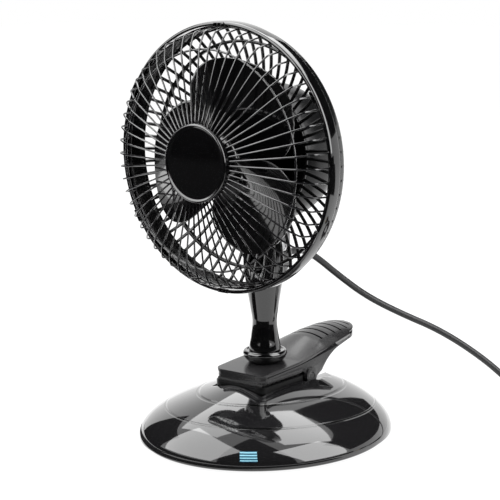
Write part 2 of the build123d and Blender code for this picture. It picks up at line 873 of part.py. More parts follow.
with BuildPart() as rear_rib:
    with BuildSketch(head_profile):
        with BuildLine():
            Polyline(*thick_path(rear_path, rib_depth), close=True)
        make_face()
    extrude(amount=rib_width / 2, both=True)

with BuildPart() as rear_guard:
    with BuildSketch(head_profile):
        wall_inner = rear_wall_outer_radius - rear_wall_thickness
        with BuildLine():
            Polyline(
                (rear_wall_front, wall_inner),
                (rear_wall_front, rear_wall_outer_radius),
                (rear_wall_rear - 1.5, rear_wall_outer_radius),
                (rear_wall_rear, rear_wall_outer_radius - 1.2),
                (rear_wall_rear, wall_inner - 1.2),
                (rear_wall_rear - 2.4, wall_inner),
                close=True,
            )
        make_face()
        with Locations((rear_ring_offset, rear_ring_radius)):
            Rectangle(3.0, 2.2)
        with Locations((hub_ring_front + 1.15, (hub_ring_outer_radius + hub_ring_inner_radius) / 2)):
            Rectangle(2.3, hub_ring_outer_radius - hub_ring_inner_radius)
    revolve(axis=head_axis)
    add([rear_rib.part.rotate(head_axis, step * 360 / rib_count) for step in range(rib_count)])
    with BuildSketch(head_face(housing_front + 2)):
        with PolarLocations(42.0, 3, start_angle=90):
            Circle(base_screw_radius)
    extrude(amount=8, mode=Mode.SUBTRACT)
rear_guard.part.label = "rear_guard"
export_step(rear_guard.part, "parts/rear_guard.step")

rim_front = -rim_depth
rim_inner_radius = guard_radius - rim_wall

with BuildPart() as guard_rim:
    with BuildSketch(head_profile):
        with BuildLine():
            Polyline(
                (0, rim_inner_radius),
                (0, guard_radius - 0.5),
                (-0.5, guard_radius),
                (rim_front + 1.2, guard_radius - rim_taper + 0.1),
                (rim_front, guard_radius - rim_taper - 1.0),
                (rim_front, lip_inner_radius),
                (rim_front + lip_thickness, lip_inner_radius),
                (rim_front + lip_thickness, rim_inner_radius),
                close=True,
            )
        make_face()
    revolve(axis=head_axis)
guard_rim.part.label = "guard_rim"
export_step(guard_rim.part, "parts/guard_rim.step")

with BuildPart() as rim_clips:
    with BuildSketch(head_face(rim_front)):
        with PolarLocations(lip_inner_radius + 1.3, clip_count, start_angle=90):
            Rectangle(2.0, 9.0)
            Rectangle(1.0, 5.0, mode=Mode.SUBTRACT)
    extrude(amount=0.8)
rim_clips.part.label = "rim_clips"
export_step(rim_clips.part, "parts/rim_clips.step")

cage_path = [
    (cage_cap_offset, cage_inner_radius),
    (cage_cap_offset, cap_radius + 1.6),
    (mid_ring_offset, mid_ring_radius),
    (bend_offset, bend_radius),
    (outer_ring_offset - 0.6, outer_ring_radius - 0.2),
]

with BuildPart() as cage_wire:
    with BuildSketch(head_profile):
        with BuildLine():
            Polyline(*thick_path(cage_path, wire), close=True)
        make_face()
    extrude(amount=wire / 2, both=True)

with BuildPart() as front_guard:
    with BuildSketch(head_profile):
        with Locations((mid_ring_offset + wire / 2 + ring_wire / 2 - 0.2, mid_ring_radius)):
            Rectangle(ring_wire, ring_wire)
        with Locations((outer_ring_offset, outer_ring_radius)):
            Rectangle(ring_wire + 0.4, ring_wire)
    revolve(axis=head_axis)
    add([cage_wire.part.rotate(head_axis, wire_phase + 360 * n / wire_count) for n in range(wire_count)])
front_guard.part.label = "front_guard"
export_step(front_guard.part, "parts/front_guard.step")

cap_rear_offset = cage_cap_offset - wire / 2

with BuildPart() as front_cap:
    with BuildSketch(head_profile):
        with BuildLine():
            ThreePointArc(
                (cap_front_offset - 0.8, 0),
                (cap_front_offset - 0.6, cap_radius / 2),
                (cap_front_offset, cap_radius - cap_bevel),
            )
            Polyline(
                (cap_front_offset, cap_radius - cap_bevel),
                (cap_front_offset + 0.5, cap_radius - 0.3),
                (cap_front_offset + 1.4, cap_radius),
                (cap_rear_offset, cap_radius),
                (cap_rear_offset, 0),
                (cap_front_offset - 0.8, 0),
            )
        make_face()
    revolve(axis=head_axis)
front_cap.part.label = "front_cap"
export_step(front_cap.part, "parts/front_cap.step")

with BuildPart() as cap_back:
    with BuildSketch(head_face(cage_cap_offset + wire / 2 + 2)):
        Circle(cap_radius - 1.5)
    extrude(amount=2.0)
    with BuildSketch(head_face(cage_cap_offset + wire / 2)):
        Circle(cage_inner_radius - 1.0)
    extrude(amount=wire)
cap_back.part.label = "cap_back"
export_step(cap_back.part, "parts/cap_back.step")

with BuildPart() as cap_screws:
    with BuildSketch(head_face(cage_cap_offset + wire / 2 + 2)):
        with PolarLocations(12.0, 3, start_angle=90):
            Circle(screw_head_radius - 0.4)
    extrude(amount=-1.2)
cap_screws.part.label = "cap_screws"
export_step(cap_screws.part, "parts/cap_screws.step")

# Head: motor --------------------------------------------------------------------------------

mount_rear = housing_front + mount_thickness
bearing_radius = 6.0

with BuildPart() as motor_mount:
    with BuildSketch(head_face(mount_rear)):
        Circle(housing_front_radius - housing_wall - 0.2)
        Circle(bearing_radius, mode=Mode.SUBTRACT)
        with PolarLocations(42.0, 3, start_angle=90):
            Circle(base_screw_radius, mode=Mode.SUBTRACT)
    extrude(amount=mount_thickness)
motor_mount.part.label = "motor_mount"
export_step(motor_mount.part, "parts/motor_mount.step")

with BuildPart() as guard_screws:
    with BuildSketch(head_face(hub_ring_front)):
        with PolarLocations(42.0, 3, start_angle=90):
            Circle(screw_head_radius)
    extrude(amount=1.4)
    with BuildSketch(head_face(hub_ring_front)):
        with PolarLocations(42.0, 3, start_angle=90):
            Circle(base_screw_radius)
    extrude(amount=-(mount_rear + 2 - hub_ring_front))
guard_screws.part.label = "guard_screws"
export_step(guard_screws.part, "parts/guard_screws.step")


with BuildPart() as front_bearing:
    with BuildSketch(head_face(mount_rear + 2)):
        Circle(bearing_radius)
        Circle(shaft_radius + running_fit, mode=Mode.SUBTRACT)
    extrude(amount=mount_thickness + 5)
front_bearing.part.label = "front_bearing"
export_step(front_bearing.part, "parts/front_bearing.step")

with BuildPart() as rear_bearing:
    with BuildSketch(head_face(rear_bracket_front + 3)):
        Circle(bearing_radius)
        Circle(shaft_radius + running_fit, mode=Mode.SUBTRACT)
    extrude(amount=5)
rear_bearing.part.label = "rear_bearing"
export_step(rear_bearing.part, "parts/rear_bearing.step")

with BuildPart() as rear_bracket:
    with BuildSketch(head_face(rear_bracket_front + 2)):
        Circle(pillar_radius + 3)
        Circle(bearing_radius, mode=Mode.SUBTRACT)
        with PolarLocations(20.0, 4, start_angle=0):
            Circle(6.0, mode=Mode.SUBTRACT)
    extrude(amount=2)
rear_bracket.part.label = "rear_bracket"
export_step(rear_bracket.part, "parts/rear_bracket.step")

with BuildPart() as motor_pillars:
    with BuildSketch(head_face(rear_bracket_front)):
        with PolarLocations(pillar_radius, 4, start_angle=45):
            Circle(2.2)
    extrude(amount=rear_bracket_front - mount_rear)
motor_pillars.part.label = "motor_pillars"
export_step(motor_pillars.part, "parts/motor_pillars.step")

with BuildPart() as stator:
    with BuildSketch(head_face(stator_rear)):
        Circle(stator_radius + 1)
        with PolarLocations(pillar_radius, 4, start_angle=45):
            Circle(4.4)
            Circle(2.2, mode=Mode.SUBTRACT)
        Circle(stator_bore, mode=Mode.SUBTRACT)
        with PolarLocations(21.0, 4, start_angle=0):
            SlotOverall(9.0, 4.0, rotation=90, mode=Mode.SUBTRACT)
    extrude(amount=stator_rear - stator_front)
stator.part.label = "stator"
export_step(stator.part, "parts/stator.step")

with BuildPart() as stator_coils:
    for front in (stator_front - coil_depth, stator_rear):
        with BuildSketch(head_face(front + coil_depth)):
            Circle(25.0)
            Circle(16.0, mode=Mode.SUBTRACT)
        extrude(amount=coil_depth)
stator_coils.part.label = "stator_coils"
export_step(stator_coils.part, "parts/stator_coils.step")

with BuildPart() as rotor_core:
    with BuildSketch(head_face(stator_rear)):
        Circle(rotor_radius)
        Circle(shaft_radius, mode=Mode.SUBTRACT)
    extrude(amount=stator_rear - stator_front)
rotor_core.part.label = "rotor_core"
export_step(rotor_core.part, "parts/rotor_core.step")

with BuildPart() as motor_shaft:
    with BuildSketch(head_face(shaft_rear)):
        Circle(shaft_radius)
    extrude(amount=shaft_rear - shaft_front)
    chamfer(motor_shaft.edges().filter_by(GeomType.CIRCLE), length=0.4)
motor_shaft.part.label = "motor_shaft"
export_step(motor_shaft.part, "parts/motor_shaft.step")

switch_front = rear_bracket_front + 4

with BuildPart() as speed_switch:
    with BuildSketch(head_face(switch_front + 8)):
        RectangleRounded(22, 18, 2)
    extrude(amount=8)
    with BuildSketch(head_face(switch_front + 8)):
        Circle(3.0)
    extrude(amount=-(housing_rear + 0.2 - switch_front - 8))
speed_switch.part.label = "speed_switch"
export_step(speed_switch.part, "parts/speed_switch.step")

with BuildPart() as speed_knob:
    with BuildSketch(head_face(housing_rear + gap + knob_length)):
        Circle(knob_radius)
    extrude(amount=knob_length)
    chamfer(speed_knob.edges().filter_by(GeomType.CIRCLE), length=0.8)
    with BuildSketch(head_face(housing_rear + gap + knob_length)):
        RectangleRounded(4.0, 2 * knob_radius - 3, 1.5)
    extrude(amount=-2.5)
speed_knob.part.label = "speed_knob"
export_step(speed_knob.part, "parts/speed_knob.step")

# Fan ----------------------------------------------------------------------------------------


def blade_offset(degrees):
    """How far behind the guard's rim a blade lies at an angle from its own centre line."""
    share = (degrees - blade_first_angle) / (blade_last_angle - blade_first_angle)
    return blade_front + (blade_rear - blade_front) * share**blade_camber


def blade_edge(radius):
    """A curve round the axis at one radius that follows the blade's pitch."""
    places = []
    for step in range(8):
        degrees = blade_first_angle + (blade_last_angle - blade_first_angle) * step / 7
        across, up = polar(radius, degrees)
        places.append((across, guard_rear_y + blade_offset(degrees), head_z + up))
    return Edge.make_spline([Vector(*place) for place in places])


blade_skin = Face.make_surface_from_curves(
    blade_edge(hub_radius - 3), blade_edge(blade_tip_radius + 2)
)

with BuildPart() as blade:
    thicken(blade_skin, amount=blade_thickness / 2, both=True)
    with BuildSketch(head_face(0)):
        with BuildLine():
            Spline(
                polar(hub_radius - 4, -38),
                polar(0.6 * blade_tip_radius, -33),
                polar(0.857 * blade_tip_radius, -23),
                polar(0.974 * blade_tip_radius, -12),
                polar(blade_tip_radius, 2),
            )
            ThreePointArc(
                polar(blade_tip_radius, 2), polar(blade_tip_radius, 19), polar(blade_tip_radius, 36)
            )
            Spline(
                polar(blade_tip_radius, 36),
                polar(0.914 * blade_tip_radius, 59),
                polar(0.7 * blade_tip_radius, 82),
                polar(hub_radius - 4, 94),
            )
            Line(polar(hub_radius - 4, 94), polar(hub_radius - 4, -38))
        make_face()
    extrude(amount=60, both=True, mode=Mode.INTERSECT)

with BuildPart() as fan_blades:
    with BuildSketch(head_profile):
        with BuildLine():
            Polyline(
                (hub_rear, shaft_radius),
                (hub_front + 2, shaft_radius),
                (hub_front + 2, 9.0),
            )
            ThreePointArc((hub_front + 2, 9.0), (hub_front + 3.2, 15.0), (hub_front + 7, hub_radius))
            Polyline(
                (hub_front + 7, hub_radius),
                (hub_rear, hub_radius),
                (hub_rear, hub_radius - 2),
                (hub_front + 6, hub_radius - 2.4),
                (hub_front + 6, 6.0),
                (hub_rear, 6.0),
                (hub_rear, shaft_radius),
            )
        make_face()
    revolve(axis=head_axis)
    for step in range(blade_count):
        add(blade.part.rotate(head_axis, step * 360 / blade_count))
    with BuildSketch(head_face(hub_rear + 1)):
        Circle(hub_radius - 2.2)
        Circle(6.0, mode=Mode.SUBTRACT)
    extrude(amount=hub_rear - hub_front - 5, mode=Mode.SUBTRACT)
fan_blades.part.label = "fan_blades"
export_step(fan_blades.part, "parts/fan_blades.step")

with BuildPart() as blade_nut:
    with BuildSketch(head_face(hub_front + 2)):
        RegularPolygon(7.0, 6)
        Circle(shaft_radius, mode=Mode.SUBTRACT)
    extrude(amount=4.0)
blade_nut.part.label = "blade_nut"
export_step(blade_nut.part, "parts/blade_nut.step")

# Mains lead ---------------------------------------------------------------------------------

cord_radius = cord_diameter / 2
floor_z = cord_radius + tie_thickness

with BuildPart() as strain_relief:
    with BuildSketch(side_plane):
        with BuildLine():
            Polyline(
                (relief_y - relief_seat, exit_z),
                (relief_y - relief_seat, exit_z + relief_radius),
                (relief_y + 1.5, exit_z + relief_radius),
                (relief_y + relief_length, exit_z + cord_radius + 0.7),
                (relief_y + relief_length, exit_z),
                close=True,
            )
        make_face()
    revolve(axis=Axis((0, 0, exit_z), (0, 1, 0)))
    for step in range(3):
        with BuildSketch(Plane.XZ.offset(-(relief_y + 4 + 3.4 * step))):
            with Locations((0, exit_z)):
                Rectangle(20, 20)
                Circle(3.1, mode=Mode.SUBTRACT)
        extrude(amount=1.2, mode=Mode.SUBTRACT)
strain_relief.part.label = "strain_relief"
export_step(strain_relief.part, "parts/strain_relief.step")

lead_points = [
    (0, relief_y + relief_length, exit_z),
    (0, 46, exit_z),
    (1.5, 62.5, 122),
    (8, 80, 106.5),
    (19, 101, 88),
    (37, 121, 73),
    (62, 141.5, 58.5),
    (90, 161, 35.5),
    (110, 173.4, 13.5),
    (*lead_landing, floor_z),
    (*lead_end, floor_z),
]
lead_radii = []
for before, corner, after in zip(lead_points, lead_points[1:], lead_points[2:]):
    into = Vector(*corner) - Vector(*before)
    out = Vector(*after) - Vector(*corner)
    shorter = min(into.length, out.length)
    lead_radii.append(0.45 * shorter / math.tan(math.radians(into.get_angle(out)) / 2))

with BuildPart() as cord_lead:
    with BuildLine():
        lead_line = FilletPolyline(*lead_points, radius=lead_radii)
    with BuildSketch(Plane(origin=lead_line @ 0, z_dir=lead_line % 0)):
        RegularPolygon(cord_radius, 6)
    sweep()
cord_lead.part.label = "cord_lead"
export_step(cord_lead.part, "parts/cord_lead.step")

# The coil winds clockwise, inwards on the floor and outwards on top, on half turns whose
# centres step from side to side by half a pitch.
inward = Vector(lead_end[0] - lead_landing[0], lead_end[1] - lead_landing[1]).normalized()
toward_start = Vector(-inward.Y, inward.X)
coil_start = Vector(*lead_end, floor_z)
coil_center = coil_start - toward_start * coil_outer_radius
half_step = toward_start * (coil_pitch / 2)
coil_edges = []
coil_point = coil_start
for half_turn in range(2 * coil_layer_turns):
    center = coil_center - half_step * (half_turn % 2)
    arc_end = center * 2 - coil_point
    run = Vector(0, 0, -1).cross(coil_point - center)
    coil_edges.append(Edge.make_tangent_arc(coil_point, run, arc_end))
    coil_point = arc_end
climb, coil_point = tangent_half_turn(coil_point, coil_center, coil_rise, turn=-1)
coil_edges += climb
top_center = coil_center + Vector(0, 0, coil_rise)
for half_turn in range(2 * coil_layer_turns - 1):
    center = top_center + half_step * ((half_turn + 1) % 2)
    arc_end = center * 2 - coil_point
    run = Vector(0, 0, -1).cross(coil_point - center)
    coil_edges.append(Edge.make_tangent_arc(coil_point, run, arc_end))
    coil_point = arc_end
coil_exit = top_center + inward * (coil_point - top_center).length
coil_edges.append(Edge.make_tangent_arc(coil_point, inward, coil_exit))
plug_way = coil_edges[-1] % 1
plug_root = coil_exit + plug_way * (6 * cord_diameter)
coil_edges.append(Edge.make_line(coil_exit, plug_root))
coil_path = Wire(coil_edges)

with BuildPart() as cord_coil:
    with BuildSketch(Plane(origin=coil_start, x_dir=toward_start, z_dir=inward)):
        RegularPolygon(cord_radius, 6)
    sweep(path=coil_path)
cord_coil.part.label = "cord_coil"
export_step(cord_coil.part, "parts/cord_coil.step")

bundle_outer = coil_outer_radius + cord_radius + gap
bundle_inner = coil_outer_radius - coil_layer_turns * coil_pitch - cord_radius - gap
tie_angle = -inward

with BuildPart() as coil_tie:
    tie_origin = Vector(coil_center.X, coil_center.Y, 0) + tie_angle * (bundle_outer + bundle_inner) / 2
    tie_plane = Plane(origin=tie_origin, x_dir=tie_angle, z_dir=tie_angle.cross(Vector(0, 0, 1)))
    tie_height = 2 * tie_thickness + cord_diameter + coil_rise + 0.2
    with BuildSketch(tie_plane):
        with Locations((0, tie_height / 2)):
            RectangleRounded(bundle_outer - bundle_inner + 2 * tie_thickness + 6, tie_height, 3.0)
            RectangleRounded(
                bundle_outer - bundle_inner + 6, tie_height - 2 * tie_thickness, 2.4, mode=Mode.SUBTRACT
            )
    extrude(amount=tie_width / 2, both=True)
coil_tie.part.label = "coil_tie"
export_step(coil_tie.part, "parts/coil_tie.step")

plug_plane = Plane(origin=plug_root, x_dir=plug_way.cross(Vector(0, 0, 1)), z_dir=plug_way)

with BuildPart() as plug_body:
    with BuildSketch(plug_plane):
        RectangleRounded(10, 9, 3)
    with BuildSketch(plug_plane.offset(plug_length * 0.45)):
        RectangleRounded(2 * plug_half_width - 8, 2 * plug_half_height - 3, 5)
    with BuildSketch(plug_plane.offset(plug_length)):
        RectangleRounded(2 * plug_half_width, 2 * plug_half_height, 6)
    loft()
plug_body.part.label = "plug_body"
export_step(plug_body.part, "parts/plug_body.step")

with BuildPart() as plug_pins:
    with BuildSketch(plug_plane.offset(plug_length)):
        with GridLocations(plug_pin_spread, 1, 2, 1):
            Circle(plug_pin_radius)
    extrude(amount=plug_pin_length)
    pin_ends = plug_pins.faces().filter_by(GeomType.PLANE).sort_by(Axis((0, 0, 0), plug_way))[-2:]
    fillet(pin_ends.edges(), radius=1.0)
plug_pins.part.label = "plug_pins"
export_step(plug_pins.part, "parts/plug_pins.step")

# Facts about the cord ------------------------------------------------------------------------


def tube_report(name, solid, path):
    """Prints a tube's length and how its volume compares with section times length."""
    section = 6 * 0.5 * cord_radius**2 * math.sin(math.pi / 3)
    print(f"{name}: length {path.length:.1f} mm, volume ratio {solid.volume / section / path.length:.4f}")


print("lead radii, mm:", ", ".join(f"{radius:.0f}" for radius in lead_radii))
tube_report("cord_lead", cord_lead.part, lead_line)
tube_report("cord_coil", cord_coil.part, coil_path)


def least_gap(path, diameter, apart):
    """The smallest gap between stretches of a tube that lie further apart along it."""
    count = int(path.length / 2)
    places = [path.position_at(index / count) for index in range(count + 1)]
    least = min(
        (places[j] - places[i]).length
        for i in range(count + 1)
        for j in range(i + int(apart / 2), count + 1)
    )
    return least - diameter


print(f"cord_coil: least gap to itself {least_gap(coil_path, cord_diameter, 60):.2f} mm")
print(f"clip_spring: least gap to itself {least_gap(spring_path, spring_wire, 20):.2f} mm")
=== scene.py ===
"""The clip fan's finished look, dressed over its packed working model."""
import math

import bpy
from mathutils import Matrix, Vector


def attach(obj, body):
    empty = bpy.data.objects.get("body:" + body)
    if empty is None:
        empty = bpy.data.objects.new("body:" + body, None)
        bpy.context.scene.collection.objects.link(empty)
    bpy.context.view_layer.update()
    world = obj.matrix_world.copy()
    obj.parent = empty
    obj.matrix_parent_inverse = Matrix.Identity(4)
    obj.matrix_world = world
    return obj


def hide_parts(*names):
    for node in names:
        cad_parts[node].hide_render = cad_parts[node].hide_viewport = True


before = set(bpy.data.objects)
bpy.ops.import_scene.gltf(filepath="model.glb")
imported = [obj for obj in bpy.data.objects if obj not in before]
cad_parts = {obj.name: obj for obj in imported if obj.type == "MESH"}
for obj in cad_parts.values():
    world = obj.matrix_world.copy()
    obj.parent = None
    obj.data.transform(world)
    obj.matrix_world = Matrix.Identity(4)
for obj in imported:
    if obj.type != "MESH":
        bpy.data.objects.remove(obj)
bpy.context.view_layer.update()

# Sizes are in millimetres unless a comment says otherwise, and are turned to metres with mm.
mm = 0.001
full_turn = 2 * math.pi
head_height = 208
rim_y = -35.7
label_low, label_high = 8.7, 15.1

# Camera ---------------------------------------------------------------------------------------

camera_heading = math.radians(39.474)
camera_height = math.radians(10.606)
camera_roll = math.radians(-0.854)
camera_distance = 1109.87
camera_lens = 110.96
sensor_width = 36
aim_height = 150
aim_left, aim_down = 9.858, 12.287
farthest_seen = 20000

away = Vector(
    (
        math.sin(camera_heading) * math.cos(camera_height),
        -math.cos(camera_heading) * math.cos(camera_height),
        math.sin(camera_height),
    )
)
rightward = Vector((math.cos(camera_heading), math.sin(camera_heading), 0))
upward = away.cross(rightward)
target = Vector((0, 0, aim_height)) * mm - rightward * aim_left * mm - upward * aim_down * mm
rolled_right = rightward * math.cos(camera_roll) + upward * math.sin(camera_roll)
rolled_up = upward * math.cos(camera_roll) - rightward * math.sin(camera_roll)

camera_data = bpy.data.cameras.new("studio_camera")
camera_data.lens = camera_lens
camera_data.sensor_width = sensor_width
camera_data.clip_end = farthest_seen * mm
camera = bpy.data.objects.new("studio_camera", camera_data)
bpy.context.scene.collection.objects.link(camera)
camera.matrix_world = Matrix.Translation(target + away * (camera_distance * mm)) @ Matrix(
    (rolled_right, rolled_up, away)
).transposed().to_4x4()
bpy.context.scene.camera = camera
bpy.context.scene.view_settings.view_transform = "Standard"

# Node sums ------------------------------------------------------------------------------------


class Value:
    """A node's output that can be written in sums."""

    def __init__(self, nodes, socket):
        self.nodes = nodes
        self.socket = socket

    def sum(self, operation, first, second=0.0):
        return self.nodes.add("ShaderNodeMath", {"operation": operation}, {0: first, 1: second})

    def __add__(self, other):
        return self.sum("ADD", self, other)

    def __radd__(self, other):
        return self.sum("ADD", other, self)

    def __sub__(self, other):
        return self.sum("SUBTRACT", self, other)

    def __rsub__(self, other):
        return self.sum("SUBTRACT", other, self)

    def __mul__(self, other):
        return self.sum("MULTIPLY", self, other)

    def __rmul__(self, other):
        return self.sum("MULTIPLY", other, self)

    def __abs__(self):
        return self.sum("ABSOLUTE", self)

    def least(self, other):
        return self.sum("MINIMUM", self, other)

    def fraction(self):
        return self.sum("FRACT", self)


class Nodes:
    """A node tree under construction."""

    def __init__(self, tree):
        self.tree = tree

    def feed(self, socket, value):
        """Links a node's output to a socket, or gives the socket a constant."""
        if isinstance(value, Value):
            self.tree.links.new(value.socket, socket)
        else:
            socket.default_value = value

    def add(self, kind, settings, values, output=0):
        """Adds a node with its settings, then the values or links of its sockets."""
        node = self.tree.nodes.new(kind)
        for name, setting in settings.items():
            setattr(node, name, setting)
        for name, value in values.items():
            self.feed(node.inputs[name], value)
        return Value(self, node.outputs[output])

    def white_rays(self):
        """1 or more for a ray that sees the white studio, and 0 for one that only lights things."""
        kinds = ("Is Camera Ray", "Is Glossy Ray", "Is Transmission Ray")
        direct, mirrored, through = [self.add("ShaderNodeLightPath", {}, {}, kind) for kind in kinds]
        return direct + mirrored + through


class Finish(Nodes):
    """A material under construction, with its surface shader."""

    def __init__(self, name, **surface):
        self.material = bpy.data.materials.new(name)
        self.material.use_nodes = True
        super().__init__(self.material.node_tree)
        self.shader = self.tree.nodes["Principled BSDF"]
        self.set(**surface)

    def place(self):
        """The point's place on the object, in metres."""
        return self.add("ShaderNodeTexCoord", {}, {}, "Object")

    def axes(self):
        """The point's place as three separate values."""
        split = self.add("ShaderNodeSeparateXYZ", {}, {0: self.place()})
        return [Value(self, output) for output in split.socket.node.outputs]

    def noise(self, scale, detail=3.0):
        return self.add(
            "ShaderNodeTexNoise", {}, {"Vector": self.place(), "Scale": scale, "Detail": detail}
        )

    def fade(self, value, full, gone):
        """1 up to a first value, falling smoothly to 0 at a second one."""
        return self.add(
            "ShaderNodeMapRange",
            {"interpolation_type": "SMOOTHSTEP"},
            {"Value": value, "From Min": full, "From Max": gone, "To Min": 1.0, "To Max": 0.0},
        )

    def blend(self, factor, first, second):
        """A colour between two colours."""
        return self.add(
            "ShaderNodeMix",
            {"data_type": "RGBA"},
            {"Factor": factor, 6: (*first, 1), 7: (*second, 1)},
            2,
        )

    def bump(self, height, depth):
        """Raises the surface by a height from 0 to 1, for a depth in metres."""
        self.set(Normal=self.add("ShaderNodeBump", {}, {"Height": height, "Distance": depth}))

    def set(self, **surface):
        """Sets or links the surface shader's sockets, with underscores for spaces."""
        for name, value in surface.items():
            colour = isinstance(value, tuple)
            self.feed(self.shader.inputs[name.replace("_", " ")], (*value, 1) if colour else value)


# Plastics -------------------------------------------------------------------------------------

coat_polish = 0.03
tool_ripple = 0.02


def gloss_moulding(name, shade, polish, ripple=tool_ripple, coat=1.0):
    """A polished moulding: faint ripples from the tool and a little handling haze."""
    finish = Finish(name, Coat_Weight=coat, Coat_Roughness=coat_polish)
    haze = finish.noise(38.0, 4.0)
    finish.set(
        Base_Color=finish.blend(haze, shade, tuple(0.75 * part for part in shade)),
        Roughness=haze * 0.05 + polish,
    )
    finish.bump(finish.noise(30.0, 1.0), ripple * mm)
    return finish


black_gloss = gloss_moulding("black_gloss", (0.003, 0.003, 0.0033), polish=0.055)
blade_moulding = gloss_moulding("blade_moulding", (0.003, 0.003, 0.0033), polish=0.07)
wire_enamel = gloss_moulding("wire_enamel", (0.008, 0.008, 0.009), polish=0.12, ripple=0.005)
guard_moulding = gloss_moulding("guard_moulding", (0.005, 0.005, 0.0053), polish=0.2, coat=0.3)
housing_satin = gloss_moulding("housing_satin", (0.0065, 0.0065, 0.007), polish=0.24, coat=0.0)
housing_satin.set(Specular_IOR_Level=0.3)
lever_satin = gloss_moulding("lever_satin", (0.021, 0.0205, 0.0215), polish=0.22, coat=0.1)
jaw_satin = gloss_moulding("jaw_satin", (0.003, 0.003, 0.0033), polish=0.3, coat=0.0)
jaw_satin.set(Specular_IOR_Level=0.2)

# The dome's two seams are level lines that sink a little towards the back.
lower_seam_height, lower_seam_slope = 23.3, 0.046
upper_seam_height, upper_seam_slope = 34.3, 0.041
seam_core, seam_edge = 0.15, 0.7
seam_depth = 0.8

dome_gloss = Finish("dome_gloss", Coat_Weight=1.0, Coat_Roughness=coat_polish)
_, dome_y, dome_z = dome_gloss.axes()
lower_seam = abs(dome_z + dome_y * lower_seam_slope - lower_seam_height * mm)
upper_seam = abs(dome_z + dome_y * upper_seam_slope - upper_seam_height * mm)
seam_groove_and_shade = dome_gloss.fade(lower_seam.least(upper_seam), seam_core * mm, seam_edge * mm)
dome_haze = dome_gloss.noise(30.0, 4.0)
# The seams are painted darker than the dome, as painted shade in their grooves, besides being sunk by
# the bump.
dome_gloss.set(
    Base_Color=dome_gloss.blend(seam_groove_and_shade, (0.010, 0.0098, 0.0105), (0.001, 0.001, 0.001)),
    Roughness=dome_haze * 0.04 + 0.045,
)
dome_gloss.bump(1 - seam_groove_and_shade, seam_depth * mm)


def soft_moulding(name, dark, light, mottle, wear, wear_depth, polish, grain, grain_depth):
    """A matt soft plastic or rubber, mottled in shade and wear, with a fine grain."""
    finish = Finish(name)
    finish.set(
        Base_Color=finish.blend(finish.noise(mottle), dark, light),
        Roughness=finish.noise(wear) * wear_depth + polish,
    )
    finish.bump(finish.noise(*grain), grain_depth * mm)
    return finish


flex_black = soft_moulding(
    "flex_black",
    dark=(0.016, 0.016, 0.017),
    light=(0.026, 0.026, 0.027),
    mottle=60.0,
    wear=140.0,
    wear_depth=0.12,
    polish=0.36,
    grain=(900.0, 2.0),
    grain_depth=0.03,
)
soft_rubber = soft_moulding(
    "soft_rubber",
    dark=(0.016, 0.016, 0.016),
    light=(0.030, 0.030, 0.030),
    mottle=180.0,
    wear=300.0,
    wear_depth=0.2,
    polish=0.62,
    grain=(2200.0, 3.0),
    grain_depth=0.05,
)

# Metals and label -----------------------------------------------------------------------------


def metal(name, shade, polish, drawn):
    """A plain metal with fine drawn marks."""
    finish = Finish(name, Metallic=1.0)
    marks = finish.noise(drawn, 4.0)
    finish.set(
        Base_Color=finish.blend(marks, shade, tuple(0.72 * part for part in shade)),
        Roughness=marks * 0.2 + polish,
    )
    finish.bump(marks, 0.01 * mm)
    return finish


zinc = metal("zinc", (0.62, 0.62, 0.63), polish=0.22, drawn=700.0)
laminated_steel = metal("laminated_steel", (0.34, 0.33, 0.32), polish=0.38, drawn=1200.0)
brass = metal("brass", (0.82, 0.62, 0.30), polish=0.2, drawn=500.0)

copper_winding = Finish("copper_winding", Metallic=0.6, Roughness=0.34)
about_shaft = copper_winding.add(
    "ShaderNodeMapping", {}, {"Vector": copper_winding.place(), "Location": (0, 0, -head_height * mm)}
)
winding = copper_winding.add(
    "ShaderNodeTexWave",
    {"wave_type": "RINGS", "rings_direction": "Y"},
    {"Vector": about_shaft, "Scale": 420.0},
)
copper_winding.set(Base_Color=copper_winding.blend(winding, (0.30, 0.11, 0.03), (0.62, 0.29, 0.12)))
copper_winding.bump(winding, 0.15 * mm)

label_bar_pitch = 1.6

label_foil = Finish("label_foil", Roughness=0.25)
_, _, label_z = label_foil.axes()
label_rows = (label_z - label_low * mm) * (1 / (label_bar_pitch * mm))
label_bar = label_foil.fade(abs(label_rows.fraction() - 0.5), 0.18, 0.3)
label_foil.set(Base_Color=label_foil.blend(label_bar, (0.01, 0.07, 0.13), (0.30, 0.62, 0.74)))

# Making and dressing --------------------------------------------------------------------------


def deselect():
    bpy.ops.object.select_all(action="DESELECT")


def take(obj):
    """Makes a piece the only one selected."""
    deselect()
    obj.select_set(True)
    bpy.context.view_layer.objects.active = obj


def open_all(obj):
    """Opens a piece for editing, with all of its mesh selected."""
    take(obj)
    bpy.ops.object.mode_set(mode="EDIT")
    bpy.ops.mesh.select_all(action="SELECT")


def apply(obj, kind, **settings):
    """Adds a modifier with its settings and applies it."""
    take(obj)
    modifier = obj.modifiers.new(kind.lower(), kind)
    for name, value in settings.items():
        setattr(modifier, name, value)
    bpy.ops.object.modifier_apply(modifier=modifier.name)
    return obj


def cut(obj, cutter, operation="DIFFERENCE"):
    """Cuts a piece by another, which is used up."""
    apply(obj, "BOOLEAN", operation=operation, object=cutter, solver="EXACT")
    bpy.data.objects.remove(cutter)
    return obj


def soften(obj, width, segments=2, angle=35):
    """Rounds a piece's edges that are sharper than an angle."""
    return apply(
        obj,
        "BEVEL",
        width=width * mm,
        segments=segments,
        limit_method="ANGLE",
        angle_limit=math.radians(angle),
        harden_normals=False,
    )


def place_in_mesh():
    """Moves the selected piece's place, turn and size into its mesh."""
    bpy.ops.object.transform_apply(location=True, rotation=True, scale=True)


